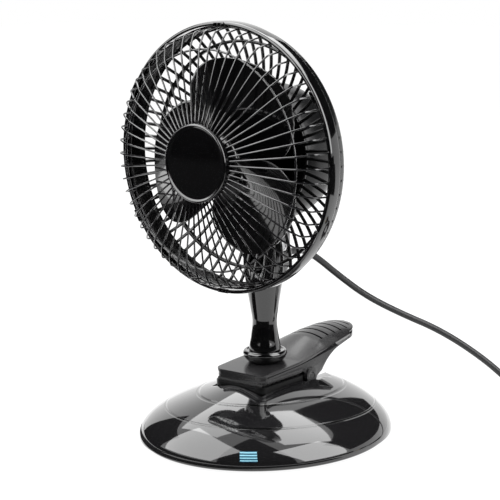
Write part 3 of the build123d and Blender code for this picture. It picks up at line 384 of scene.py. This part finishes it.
def dress(obj, name, body, finish, stands_for=(), smooth=38):
    """Names a finished piece, sets its place and finish, and puts it on its body."""
    take(obj)
    place_in_mesh()
    bpy.ops.object.shade_smooth_by_angle(angle=math.radians(smooth))
    obj.name = name
    obj.data.name = name
    obj.data.materials.clear()
    obj.data.materials.append(finish.material)
    if stands_for:
        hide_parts(*stands_for)
    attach(obj, body)
    return obj


def start_at(point):
    """Starts a mesh as one corner at a point, in edit mode."""
    deselect()
    bpy.ops.mesh.primitive_plane_add(size=mm)
    obj = bpy.context.object
    bpy.ops.object.mode_set(mode="EDIT")
    bpy.ops.mesh.merge(type="CENTER")
    bpy.ops.transform.translate(value=point)
    return obj


def trace(points):
    """Draws edges from point to point, starting from the selected corner."""
    for before, after in zip(points, points[1:]):
        bpy.ops.mesh.extrude_vertices_move(TRANSFORM_OT_translate={"value": after - before})


def close_tidy():
    """Merges doubles and turns all faces outwards, then leaves edit mode."""
    bpy.ops.mesh.select_all(action="SELECT")
    bpy.ops.mesh.remove_doubles(threshold=0.01 * mm)
    bpy.ops.mesh.normals_make_consistent(inside=False)
    bpy.ops.object.mode_set(mode="OBJECT")


head_centre = Vector((0, rim_y, head_height)) * mm
head_axis = Vector((0, 1, 0))
post_axis = Vector((0, 0, 1))


def turned(profile, centre, axis, across, steps):
    """A turned piece: places along the axis and radii, in millimetres, spun full circle."""
    points = [centre + (axis * along + across * radius) * mm for along, radius in profile]
    obj = start_at(points[0])
    trace(points)
    bpy.ops.mesh.select_all(action="SELECT")
    bpy.ops.mesh.spin(steps=steps, angle=full_turn, center=centre, axis=axis)
    close_tidy()
    return obj


def turned_head(profile, steps=128):
    """A piece turned about the head's axis, with places measured backwards from the rim."""
    return turned(profile, head_centre, head_axis, post_axis, steps)


def turned_post(profile, steps=96):
    """A piece turned about the neck's axis, with places measured up from the desk."""
    return turned(profile, Vector(), post_axis, Vector((1, 0, 0)), steps)


def flowing(points, steps):
    """A smooth line through points, as more points."""
    ends = [points[0], *points, points[-1]]
    line = []
    for a, b, c, d in zip(ends, ends[1:], ends[2:], ends[3:]):
        for step in range(steps):
            t = step / steps
            line.append(
                tuple(
                    0.5 * (2 * q + (r - p) * t + (2 * p - 5 * q + 4 * r - s) * t**2
                           + (3 * q - p - 3 * r + s) * t**3)
                    for p, q, r, s in zip(a, b, c, d)
                )
            )
    return line + [points[-1]]


def between(table, place):
    """The value at a place in a table of (place, value) pairs, in even steps from row to row."""
    if place <= table[0][0]:
        return table[0][1]
    for (a, low), (b, high) in zip(table, table[1:]):
        if place <= b:
            return low + (high - low) * (place - a) / (b - a)
    return table[-1][1]


def eased(table, place):
    """The same as between, along a smooth line through the table's rows."""
    return between(flowing(table, 6), place)


def nurbs_line(name, points, thickness, sides=1, smoothness=3):
    """A round bar along a smooth line, whose control points are in millimetres."""
    data = bpy.data.curves.new(name, "CURVE")
    data.dimensions = "3D"
    data.bevel_depth = thickness / 2 * mm
    data.bevel_resolution = sides
    data.resolution_u = smoothness
    data.use_fill_caps = True
    spline = data.splines.new("NURBS")
    spline.points.add(len(points) - 1)
    for control, point in zip(spline.points, points):
        control.co = (*(Vector(point) * mm), 1)
    spline.order_u = 3
    spline.use_endpoint_u = True
    obj = bpy.data.objects.new(name, data)
    bpy.context.scene.collection.objects.link(obj)
    return obj


def meshed(obj):
    """Turns a curve into a mesh."""
    take(obj)
    bpy.ops.object.convert(target="MESH")
    return bpy.context.object


def copies_round(obj, count):
    """Copies a piece's mesh to equal places all round the head's axis."""
    open_all(obj)
    bpy.ops.mesh.spin(
        steps=count - 1,
        dupli=True,
        angle=full_turn * (count - 1) / count,
        center=head_centre,
        axis=head_axis,
        use_auto_merge=False,
    )
    bpy.ops.object.mode_set(mode="OBJECT")


def join(first, *others):
    """Joins pieces into the first one."""
    deselect()
    for obj in (first, *others):
        obj.select_set(True)
    bpy.context.view_layer.objects.active = first
    bpy.ops.object.join()
    return first


def copy_of(node):
    """A merged copy of a CAD node's mesh, ready to be finished."""
    obj = bpy.data.objects.new(node + "_copy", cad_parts[node].data.copy())
    bpy.context.scene.collection.objects.link(obj)
    open_all(obj)
    bpy.ops.mesh.remove_doubles(threshold=0.004 * mm)
    bpy.ops.mesh.dissolve_limited(angle_limit=math.radians(1.0))
    bpy.ops.object.mode_set(mode="OBJECT")
    return obj


def rounded_block(low, high, radius=0.0, segments=3):
    """A block between two corners, in millimetres, with its edges rounded."""
    low, high = Vector(low) * mm, Vector(high) * mm
    deselect()
    bpy.ops.mesh.primitive_cube_add(size=1, location=(low + high) / 2, scale=high - low)
    obj = bpy.context.object
    place_in_mesh()
    if radius:
        soften(obj, radius, segments)
    return obj


# Mains lead -----------------------------------------------------------------------------------

cord_diameter = 5.0
# The lead from its exit at the neck, past the camera's view, to where its coil starts.
lead_route = [
    (0, 30, 131.5),
    (0, 46, 131.5),
    (1.5, 62.5, 122),
    (8, 80, 106.5),
    (19, 101, 88),
    (37, 121, 73),
    (62, 141.5, 58.5),
    (90, 161, 35.5),
    (110, 173.4, 13.5),
    (127.6, 185.7, 3.1),
    (140.0, 194.3, 3.1),
]
coil_radius = 38.5
coil_pitch = 5.6
coil_rise = 5.5
turns_in, turns_up, turns_out = 3, 0.5, 2.75
points_per_turn = 16
plug_run_places = (10, 20, 30)

coil_start = Vector(lead_route[-1])
inward = (coil_start - Vector(lead_route[-2])).normalized()
toward_start = Vector((-inward.y, inward.x, 0))
coil_centre = coil_start - toward_start * coil_radius
eye_radius = coil_radius - coil_pitch * turns_in


def coil_point(turn, radius, lift):
    """A point of the coil, clockwise from where the lead comes in."""
    angle = full_turn * turn
    around = toward_start * math.cos(angle) + inward * math.sin(angle)
    return coil_centre + around * radius + Vector((0, 0, lift))


def turned_through(turns):
    """The turns made at each point of a stretch of the coil."""
    return [step / points_per_turn for step in range(1, int(turns * points_per_turn) + 1)]


# The coil winds inwards on the desk, climbs round its eye and winds outwards on top.
coil_route = [coil_point(turn, coil_radius - coil_pitch * turn, 0) for turn in turned_through(turns_in)]
for turn in turned_through(turns_up):
    coil_route.append(coil_point(turn, eye_radius, coil_rise * turn / turns_up))
for turn in turned_through(turns_out):
    radius = eye_radius + (coil_radius - eye_radius) * turn / turns_out
    coil_route.append(coil_point(turns_up + turn, radius, coil_rise))
plug_run = [coil_route[-1] - toward_start * along for along in plug_run_places]

mains_cord = nurbs_line("mains_cord", [*lead_route, *coil_route, *plug_run], cord_diameter, 3, 8)

# Studio, in metres ----------------------------------------------------------------------------

softbox_distance = 1.7
softbox_aim_height = 0.1
# How far the sheets of painted shade stand from the object.
painted_shade_distance = 2.6
floor_width = 12
white = (1, 1, 1, 1)
# How strong the white surround is for the light that falls on things.
surround_light = 0.35
floor_brightness = 1.12
floor_glow_share = 0.84


def heading(around, height, distance):
    """A point at an angle from straight ahead towards +X, an angle up, and a distance."""
    around, height = math.radians(around), math.radians(height)
    level = math.cos(height)
    return distance * Vector((math.sin(around) * level, -math.cos(around) * level, math.sin(height)))


def softbox(name, around, height, width, tall, radiance):
    """A softbox that faces the object."""
    light = bpy.data.lights.new(name, "AREA")
    light.shape = "RECTANGLE"
    light.size = width
    light.size_y = tall
    light.energy = radiance * math.pi * width * tall
    obj = bpy.data.objects.new(name, light)
    bpy.context.scene.collection.objects.link(obj)
    obj.location = heading(around, height, softbox_distance) + Vector((0, 0, softbox_aim_height))
    obj.rotation_euler = heading(around, height, 1).to_track_quat("Z", "Y").to_euler()


softbox("left_softbox", around=-31, height=38, width=2.0, tall=1.9, radiance=3.3)
softbox("overhead_softbox", around=-112, height=62, width=1.3, tall=1.1, radiance=2.8)
softbox("right_softbox", around=99, height=34, width=1.35, tall=1.8, radiance=4.0)
softbox("rear_softbox", around=168, height=67, width=1.2, tall=0.9, radiance=3.5)

world = bpy.data.worlds.new("studio")
bpy.context.scene.world = world
world.use_nodes = True
surround = Nodes(world.node_tree)
surround_strength = surround.add(
    "ShaderNodeMapRange", {}, {"Value": surround.white_rays(), "To Min": surround_light, "To Max": 1.0}
)
background = world.node_tree.nodes["Background"]
surround.feed(background.inputs["Strength"], surround_strength)
surround.feed(background.inputs["Color"], white)

deselect()
bpy.ops.mesh.primitive_plane_add(size=floor_width)
floor = bpy.context.object
floor.name = "floor"
floor_paper = Finish("floor_paper", Base_Color=(0.86, 0.86, 0.86), Roughness=0.6)
floor_glow = floor_paper.add("ShaderNodeEmission", {}, {"Color": white, "Strength": floor_brightness})
floor_mix = floor_paper.add(
    "ShaderNodeMixShader",
    {},
    {
        0: floor_paper.white_rays() * floor_glow_share,
        1: Value(floor_paper, floor_paper.shader.outputs[0]),
        2: floor_glow,
    },
)
floor_paper.feed(floor_paper.tree.nodes["Material Output"].inputs["Surface"], floor_mix)
floor.data.materials.append(floor_paper.material)

# A dark, matt finish for the sheets of painted shade.
painted_shade_sheet = Finish(
    "painted_shade_sheet", Base_Color=(0.015, 0.015, 0.015), Roughness=1.0, Specular_IOR_Level=0.0
)


def painted_shade_sweep(name, profile, first, last):
    """A dark sheet of painted shade, standing for the unlit studio, swept round the object, out of the
    camera's sight.
    """
    obj = start_at(profile[0])
    trace(profile)
    bpy.ops.mesh.select_all(action="SELECT")
    bpy.ops.mesh.spin(steps=24, angle=math.radians(first - last), center=(0, 0, 0), axis=(0, 0, 1))
    close_tidy()
    obj.name = name
    obj.data.materials.append(painted_shade_sheet.material)
    obj.visible_camera = False
    obj.visible_shadow = False


def painted_shade_wall(name, first, last, low, top):
    """A dark sheet of painted shade hung round the object between two angles up."""
    profile = [heading(first, low + (top - low) * step / 12, painted_shade_distance) for step in range(13)]
    painted_shade_sweep(name, profile, first, last)


def painted_shade_mat(name, first, last, near, far=painted_shade_distance):
    """A dark sheet of painted shade laid 1 mm over the floor between two distances, which darkens the
    floor in reflections.
    """
    profile = [heading(first, 0, reach) + Vector((0, 0, 0.001)) for reach in (near, far)]
    painted_shade_sweep(name, profile, first, last)


# Painted shade: these dark sheets are seen only in reflections, where they darken the white studio. The
# nearest mat at the foot paints the floor's shadow under the base into them.
painted_shade_wall("dark_front", first=2, last=73, low=0, top=88)
painted_shade_wall("dark_left", first=-106, last=-66, low=0, top=40)
painted_shade_wall("dark_low", first=-66, last=2, low=0, top=8)
painted_shade_wall("dark_right", first=73, last=125, low=0, top=5)
painted_shade_wall("dark_rear", first=124, last=197, low=15, top=51)
painted_shade_mat("painted_shadow_foot", first=-30, last=80, near=0.1, far=0.135)
painted_shade_mat("painted_shade_front", first=-20, last=80, near=0.25)
painted_shade_mat("painted_shade_low", first=-66, last=-46, near=0.5)
painted_shade_mat("painted_shade_ahead", first=-46, last=-20, near=0.24)
painted_shade_mat("painted_shade_edge", first=-70, last=-30, near=0.1, far=0.24)
painted_shade_mat("painted_shade_left", first=-110, last=-66, near=0.5)
painted_shade_mat("painted_shade_right", first=80, last=128, near=0.5)

# Base -----------------------------------------------------------------------------------------

dome_peak = 47.1
dome_top_cut = 0.25
skirt = 4.0
dome_half_x = 90.0
dome_half_y = 96.8
dome_fullness, dome_roundness, dome_stretch = 1.97, 0.95, 0.64
dome_levels = 34
dome_corners = 160

behind, above = 110, 60
seat_half_width, seat_front, seat_height = 23.25, -33.2, 35.8
hinge_half_width, hinge_front, hinge_height = 25.6, 14, 38.0
handle_half_width, handle_front, handle_height = 12.3, 15.6, 13

rail_front, rail_rear = -31, 15
web_half_width, web_foot, web_top = 11, 34.5, 39
cap_half_width, cap_foot, cap_top = 15, 38.6, 40.8


def dome_size(height):
    """Half widths of the dome's oval at a height."""
    taper = (1 - ((height - skirt) / (dome_peak - skirt)) ** dome_fullness) ** dome_roundness
    return dome_half_x * taper, dome_half_y * taper**dome_stretch


def block_to_rear(half_width, front, floor_height):
    """A block for cutting the dome away over a floor, from a front wall to the rear."""
    return rounded_block((-half_width, front, floor_height), (half_width, behind, above))


deselect()
bpy.ops.mesh.primitive_circle_add(
    vertices=dome_corners, radius=1, fill_type="NGON", location=(0, 0, skirt * mm)
)
dome = bpy.context.object
bpy.ops.object.mode_set(mode="EDIT")
bpy.ops.transform.resize(value=(dome_half_x * mm, dome_half_y * mm, 1), center_override=(0, 0, 0))
size, height = dome_size(skirt), skirt
for step in range(1, dome_levels + 1):
    next_height = skirt + (dome_peak - dome_top_cut - skirt) * math.sin(math.pi / 2 * step / dome_levels)
    next_size = dome_size(next_height)
    bpy.ops.mesh.extrude_region_move(
        TRANSFORM_OT_translate={"value": (0, 0, (next_height - height) * mm)}
    )
    bpy.ops.transform.resize(
        value=(next_size[0] / size[0], next_size[1] / size[1], 1),
        center_override=(0, 0, next_height * mm),
    )
    size, height = next_size, next_height
close_tidy()
cut(dome, block_to_rear(seat_half_width, seat_front, seat_height))
cut(dome, block_to_rear(hinge_half_width, hinge_front, hinge_height))
cut(dome, block_to_rear(handle_half_width, handle_front, handle_height))
soften(dome, 0.5, 2, 30)

# The rail that the lower jaw slides on: a web with a wider cap.
rail_web = rounded_block((-web_half_width, rail_front, web_foot), (web_half_width, rail_rear, web_top))
rail_cap = rounded_block(
    (-cap_half_width, rail_front, cap_foot), (cap_half_width, rail_rear, cap_top), 0.4
)
join(dome, join(rail_web, rail_cap))
dress(dome, "dome", "base", dome_gloss, ["base_shell"], 30)

# Label: a small foil patch that lies on the dome's front, between two angles round the oval.
label_left, label_right = math.radians(29.8), math.radians(37.4)
label_proud = 0.12
deselect()
bpy.ops.mesh.primitive_grid_add(x_subdivisions=14, y_subdivisions=10, size=1)
label = bpy.context.object
for corner in label.data.vertices:
    around = label_left + (label_right - label_left) * (corner.co.x + 0.5)
    height = label_low + (label_high - label_low) * (corner.co.y + 0.5)
    half_x, half_y = [half + label_proud for half in dome_size(height)]
    corner.co = Vector((half_x * math.sin(around), -half_y * math.cos(around), height)) * mm
dress(label, "foil_label", "base", label_foil)

# Clip lever -----------------------------------------------------------------------------------

# Places along the clip, with the lever's half width there, and the heights of its edge and crown.
lever_half_width = [
    (-31, 22.6), (-8, 23.4), (12, 23.4), (28, 23.4), (45, 23.0), (62, 21.8), (80, 19.8), (98, 17.0)
]
lever_edge = [
    (-31, 52.9), (-8, 54.2), (12, 55.1), (28, 56.7), (45, 58.7), (62, 61.1), (80, 62.9), (98, 64.4)
]
lever_crown = [
    (-31, 53.2), (-8, 54.7), (12, 55.9), (28, 60.7), (45, 65.7), (62, 67.9), (80, 68.5), (98, 66.7)
]
lever_front, lever_tip = -31.4, 97.4
front_corner, tip_corner = 7.0, 17.6
dense_share = 0.12

# Behind its front corners the clip's outline only has to be wider and taller than the clip.
outline_rest_half_width = 30
outline_rest_front, outline_overlap_rear, outline_rear = 8, 40, 110
outline_top = 100

groove_count = 6
groove_pitch = 8
last_groove = 90.5
groove_half_width, groove_end_radius = 0.9, 0.7
groove_margin = 3.0
grooves_round, grooves_round_centre = 17.5, 79.5


def share_of_length(row):
    """A share of the lever's length from a share of its rows, which lie closer at the front."""
    if row < dense_share:
        return row**2 / (2 * dense_share)
    return dense_share / 2 + (row - dense_share) * (1 - dense_share / 2) / (1 - dense_share)


def lever_sheet(grow, drop, thickness, rounded=True):
    """The lever's arched sheet, grown sideways and lowered, with its thickness downwards."""
    deselect()
    bpy.ops.mesh.primitive_grid_add(x_subdivisions=28, y_subdivisions=90, size=2)
    sheet = bpy.context.object
    front, tip = lever_front - grow, lever_tip + grow
    front_radius, tip_radius = front_corner + grow, tip_corner + grow
    for corner in sheet.data.vertices:
        along = front + (tip - front) * share_of_length((corner.co.y + 1) / 2)
        full = between(lever_half_width, along)
        half = full + grow
        if rounded and along < front + front_radius:
            reach = front_radius - along + front
            half -= front_radius - math.sqrt(max(front_radius**2 - reach**2, 0))
        if rounded and along > tip - tip_radius:
            half = min(half, math.sqrt(max(tip_radius**2 - (along - tip + tip_radius) ** 2, 0.01)))
        arch = max(1 - (corner.co.x * half / full) ** 2, 0)
        low, high = between(lever_edge, along), between(lever_crown, along)
        corner.co = Vector((corner.co.x * half, along, low + (high - low) * arch - drop)) * mm
    return apply(sheet, "SOLIDIFY", thickness=thickness * mm, offset=-1)


def clip_outline(front, half):
    """A tall block for trimming the clip's front corners round, as far as its bosses."""
    nose = rounded_block((-half, front, 0), (half, outline_overlap_rear, outline_top), front_corner, 8)
    rest = rounded_block(
        (-outline_rest_half_width, outline_rest_front, 1),
        (outline_rest_half_width, outline_rear, outline_top - 1),
    )
    return cut(nose, rest, "UNION")


# The cover, with finger grooves that follow the tip's round.
cover = lever_sheet(0, 0, 2.0)
soften(cover, 0.7, 3, 40)
grooves = []
for step in range(groove_count):
    place = last_groove - groove_pitch * step
    reach = math.sqrt(grooves_round**2 - max(place - grooves_round_centre, 0) ** 2) - groove_margin
    low = (-reach, place - groove_half_width, 55)
    high = (reach, place + groove_half_width, 75)
    grooves.append(rounded_block(low, high, groove_end_radius, 3))
cut(cover, join(*grooves))
dress(cover, "lever_cover", "clip_upper", lever_satin, ["upper_lever"], 40)

# The body under the cover, with its side webs. Its top is cut first, and then its corners.
lever_body = copy_of("upper_lever")
cut(lever_body, lever_sheet(3.0, -1.5, 4.3, rounded=False))
cut(lever_body, clip_outline(-29.9, 23.2), "INTERSECT")
soften(lever_body, 0.3, 2, 32)
join(lever_body, lever_sheet(-0.9, 1.6, 2.2))
dress(lever_body, "lever_body", "clip_upper", lever_satin, ["upper_lever"], 34)

# Finished copies of plain CAD nodes -----------------------------------------------------------

# Each node, with its body, finish, slot and the rounding of its edges.
plain_nodes = [
    ("base_plate", "base", black_gloss, "gloss_black", 0.3),
    ("rubber_feet", "base", soft_rubber, "rubber", 0.3),
    ("lower_jaw", "clip_lower", jaw_satin, "black_plastic", 0.35),
    ("swivel_washer", "neck", zinc, "plain_steel", 0.15),
    ("neck_yoke", "neck", black_gloss, "gloss_black", 0.7),
    ("tilt_bolt", "neck", zinc, "plain_steel", 0.3),
    ("tilt_nut", "neck", zinc, "plain_steel", 0.3),
    ("cap_back", "head", guard_moulding, "black_plastic", 0.3),
    ("motor_mount", "head", guard_moulding, "black_plastic", 0.3),
    ("speed_knob", "knob", black_gloss, "gloss_black", 0.3),
    ("blade_nut", "fan", guard_moulding, "black_plastic", 0.4),
    ("plug_body", "neck", flex_black, "black_plastic", 0.6),
    ("plug_pins", "neck", brass, "brass", 0.0),
    ("coil_tie", "neck", soft_rubber, "black_plastic", 0.15),
    ("strain_relief", "neck", flex_black, "black_flex", 0.2),
]
for node, body, finish, slot, edge in plain_nodes:
    piece = copy_of(node)
    if node == "lower_jaw":
        cut(piece, clip_outline(-32.0, 23.2), "INTERSECT")
    if edge:
        soften(piece, edge, 2, 30)
    dress(piece, node + "_finished", body, finish, [node])

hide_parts("cord_lead", "cord_coil")
mains_cord.data.materials.append(flex_black.material)
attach(mains_cord, "neck")

# Swivel collar and neck -----------------------------------------------------------------------

collar_cup = [(55.2, 11.9), (57.0, 13.9), (59.0, 15.4), (61.0, 16.15), (62.4, 16.1), (63.4, 15.6)]
collar = turned_post(
    [
        *flowing(collar_cup, 4),
        (64.0, 14.8),
        (64.0, 13.6),
        (63.2, 12.9),
        (63.2, 11.2),
        (55.2, 11.2),
        (55.2, 11.9),
    ]
)
soften(collar, 0.3, 2, 40)
dress(collar, "swivel_collar_ring", "clip_upper", black_gloss, ["swivel_collar"])

neck_waist = [
    (64.0, 11.75), (67.5, 11.4), (73.5, 10.3), (84.8, 9.0), (93.7, 10.1), (102.6, 11.5), (115.5, 13.7)
]
neck = turned_post(
    [
        (55.5, 0),
        (55.5, 11.1),
        (63.6, 11.1),
        *flowing(neck_waist, 6),
        (115.5, 0),
    ]
)
soften(neck, 0.25, 2, 40)
dress(neck, "neck_column", "neck", black_gloss, ["neck_post"])

# Guard ----------------------------------------------------------------------------------------

front_wire_count = 58
rear_rib_count = 60
rim_tab_count = 6
front_wire_width, rear_rib_width = 1.25, 2.5
# The first wire stands a few degrees clockwise off the top.
first_wire_angle = 3.0


def head_point(offset, radius, degrees=0.0):
    """A point of the head: behind the rim, from the axis, clockwise from the top."""
    angle = math.radians(degrees)
    x, z = radius * math.sin(angle), head_height + radius * math.cos(angle)
    return Vector((x, rim_y + offset, z))


def block_on_head(low, high, radius=0.0, segments=3):
    """A block between two corners: to the right, behind the rim, and over the axis."""
    rim_centre = head_point(0, 0)
    return rounded_block(rim_centre + Vector(low), rim_centre + Vector(high), radius, segments)


def ring_of_wire(offset, radius, thickness):
    """A round wire bent into a ring about the head's axis."""
    deselect()
    bpy.ops.mesh.primitive_torus_add(
        major_radius=radius * mm,
        minor_radius=thickness / 2 * mm,
        major_segments=144,
        minor_segments=10,
        location=head_point(offset, 0) * mm,
        rotation=(math.pi / 2, 0, 0),
    )
    ring = bpy.context.object
    place_in_mesh()
    return ring


# From the front disc over the cage's face, round the bend and back to the rim.
front_wire_route = [
    (-34.3, 20.5),
    (-34.3, 27.5),
    (-33.8, 31.0),
    (-26.0, 74.5),
    (-25.0, 78.0),
    (-20.2, 86.2),
    (-18.2, 88.4),
    (-15.0, 89.0),
    (-5.0, 90.8),
]
front_wire_points = [head_point(*place, first_wire_angle) for place in front_wire_route]
front_cage = meshed(nurbs_line("front_wires", front_wire_points, front_wire_width))
copies_round(front_cage, front_wire_count)
middle_ring = ring_of_wire(-24.3, 76.4, 1.5)
rim_ring = ring_of_wire(-5.2, 90.9, 2.0)
disc_ring = ring_of_wire(-33.2, 22.5, 1.6)
join(front_cage, join(middle_ring, rim_ring, disc_ring))
dress(front_cage, "front_cage", "head", wire_enamel, ["front_guard"], 60)

rim = turned_head(
    [
        (0.0, 92.6),
        (0.0, 94.4),
        (-0.5, 94.9),
        (-1.2, 95.0),
        (-8.0, 94.6),
        (-9.0, 94.3),
        (-9.6, 93.6),
        (-9.7, 91.9),
        (-8.7, 91.7),
        (-8.5, 92.6),
        (0.0, 92.6),
    ],
    192,
)
soften(rim, 0.2, 2, 30)
dress(rim, "rim_band", "head", black_gloss, ["guard_rim"])

# The rim's tabs, each with two small windows.
rim_tabs = block_on_head((-4.6, -10.55, 91.0), (4.6, -9.5, 94.1), 0.25)
for left, right in ((-2.6, -0.5), (0.5, 2.6)):
    cut(rim_tabs, block_on_head((left, -11.3, 92.0), (right, -8.3, 93.3)))
copies_round(rim_tabs, rim_tab_count)
dress(rim_tabs, "rim_tabs", "head", black_gloss, ["rim_clips"])

# From the rear wall over the cage's back to the hub ring.
rear_rib_route = [(5, 91.4), (8.5, 91.0), (12, 86), (16.5, 79), (21, 68), (24, 56), (24.8, 46)]
rear_rib_points = [head_point(*place) for place in rear_rib_route]
rear_cage = meshed(nurbs_line("rear_ribs", rear_rib_points, rear_rib_width))
copies_round(rear_cage, rear_rib_count)
rear_wall = turned_head(
    [
        (-3.6, 90.4),
        (-3.6, 92.2),
        (7.2, 92.2),
        (8.6, 91.4),
        (9.2, 90.0),
        (8.6, 88.9),
        (7.0, 90.4),
        (-3.6, 90.4),
    ],
    144,
)
rear_ring = turned_head([(14.4, 79.0), (14.4, 81.2), (17.4, 81.2), (17.6, 79.0), (14.4, 79.0)], 144)
hub_ring = turned_head(
    [(23.7, 38.0), (23.7, 47.4), (24.6, 48.3), (26.0, 48.3), (26.0, 38.0), (23.7, 38.0)], 96
)
join(rear_cage, soften(rear_wall, 0.3), soften(rear_ring, 0.5), soften(hub_ring, 0.3))
dress(rear_cage, "rear_cage", "head", guard_moulding, ["rear_guard"], 50)

front_disc = turned_head(
    [
        (-34.8, 0),
        (-34.8, 26.9),
        (-36.2, 27.2),
        (-37.3, 27.0),
        (-37.9, 26.3),
        (-38.0, 25.6),
        (-37.4, 24.9),
        (-37.3, 24.3),
        *flowing([(-37.5, 22.0), (-38.0, 14.0), (-38.3, 6.0), (-38.4, 0)], 3),
    ]
)
dress(front_disc, "front_disc", "head", black_gloss, ["front_cap"], 50)

# Motor housing --------------------------------------------------------------------------------

vent_count = 12
bell_curve = [
    (28, 48.3),
    (38.0, 49.8),
    (52.0, 49.2),
    (60.5, 46.9),
    (66.2, 44.3),
    (71.5, 39.8),
    (76.2, 33.4),
    (79.4, 25.0),
    (81.2, 14.2),
]
bell = turned_head(
    [
        (26.0, 0),
        (26.0, 47.0),
        (26.5, 47.7),
        *flowing(bell_curve, 4),
        (81.3, 5.0),
        (79.0, 4.6),
        (79.0, 0),
    ]
)
vents = block_on_head((-1.3, 65.7, 18.5), (1.3, 87.7, 29.5), 1.25, 4)
copies_round(vents, vent_count)
cut(bell, vents)
chin = soften(copy_of("motor_housing"), 0.5, 2, 32)
join(bell, chin)
dress(bell, "motor_bell", "head", housing_satin, ["motor_housing"], 34)

# Blades ---------------------------------------------------------------------------------------

blade_count = 3
blade_thickness = 1.7
blade_root, blade_tip = 14, 70
tip_crowding = 1.8
# Radii, with the angles of a blade's trailing and leading edges there.
trailing_angle = [
    (14, -39), (26, -36), (42, -33), (50, -29), (56, -25.5), (61, -21.5), (66, -15.5), (69, -7), (70, 2)
]
leading_angle = [
    (14, 95), (30, 92), (42, 88), (48, 83), (57, 71), (63, 60), (67, 51), (69.2, 43), (70, 36)
]
# Angles across a blade, with how far behind the rim it lies there.
blade_place = [
    (-40, -13.0),
    (-22, -11.3),
    (-10, -9.1),
    (5, -5.5),
    (20, -2.3),
    (35, -0.3),
    (50, 0.9),
    (65, 2.0),
    (80, 3.0),
    (96, 4.0),
]

deselect()
bpy.ops.mesh.primitive_grid_add(x_subdivisions=34, y_subdivisions=22, size=2)
blades = bpy.context.object
for corner in blades.data.vertices:
    share = (corner.co.y + 1) / 2
    radius = blade_root + (blade_tip - blade_root) * (1 - (1 - share) ** tip_crowding)
    first, last = eased(trailing_angle, radius), eased(leading_angle, radius)
    degrees = first + (last - first) * (corner.co.x + 1) / 2
    corner.co = head_point(eased(blade_place, degrees), radius, degrees) * mm
apply(blades, "SOLIDIFY", thickness=blade_thickness * mm, offset=0)
open_all(blades)
close_tidy()
soften(blades, 0.5, 2, 50)
copies_round(blades, blade_count)

hub_nose = [(-15.3, 9.5), (-14.8, 13.0), (-13.2, 15.6), (-10.5, 16.9), (-8.0, 17.2)]
hub = turned_head(
    [
        (-15.5, 0),
        (-15.5, 8.6),
        *flowing(hub_nose, 4),
        (9.5, 17.0),
        (9.5, 15.0),
        (-10.0, 14.6),
        (-10.0, 6.2),
        (9.5, 6.0),
        (9.5, 0),
    ],
    96,
)
join(blades, hub)
dress(blades, "blade_moulding", "fan", blade_moulding, ["fan_blades"], 40)

# The other CAD nodes keep their shape ---------------------------------------------------------

node_finishes = {
    "ballast_weight": laminated_steel,
    "base_screws": zinc,
    "lower_jaw_pad": soft_rubber,
    "upper_jaw_pad": soft_rubber,
    "pivot_pin": guard_moulding,
    "clip_spring": zinc,
    "swivel_screw": zinc,
    "tilt_washers": soft_rubber,
    "cap_screws": zinc,
    "guard_screws": zinc,
    "front_bearing": brass,
    "rear_bearing": brass,
    "rear_bracket": zinc,
    "motor_pillars": zinc,
    "stator": laminated_steel,
    "stator_coils": copper_winding,
    "rotor_core": laminated_steel,
    "motor_shaft": zinc,
    "speed_switch": guard_moulding,
}
for node, finish in node_finishes.items():
    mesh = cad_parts[node].data
    mesh.materials.clear()
    mesh.materials.append(finish.material)
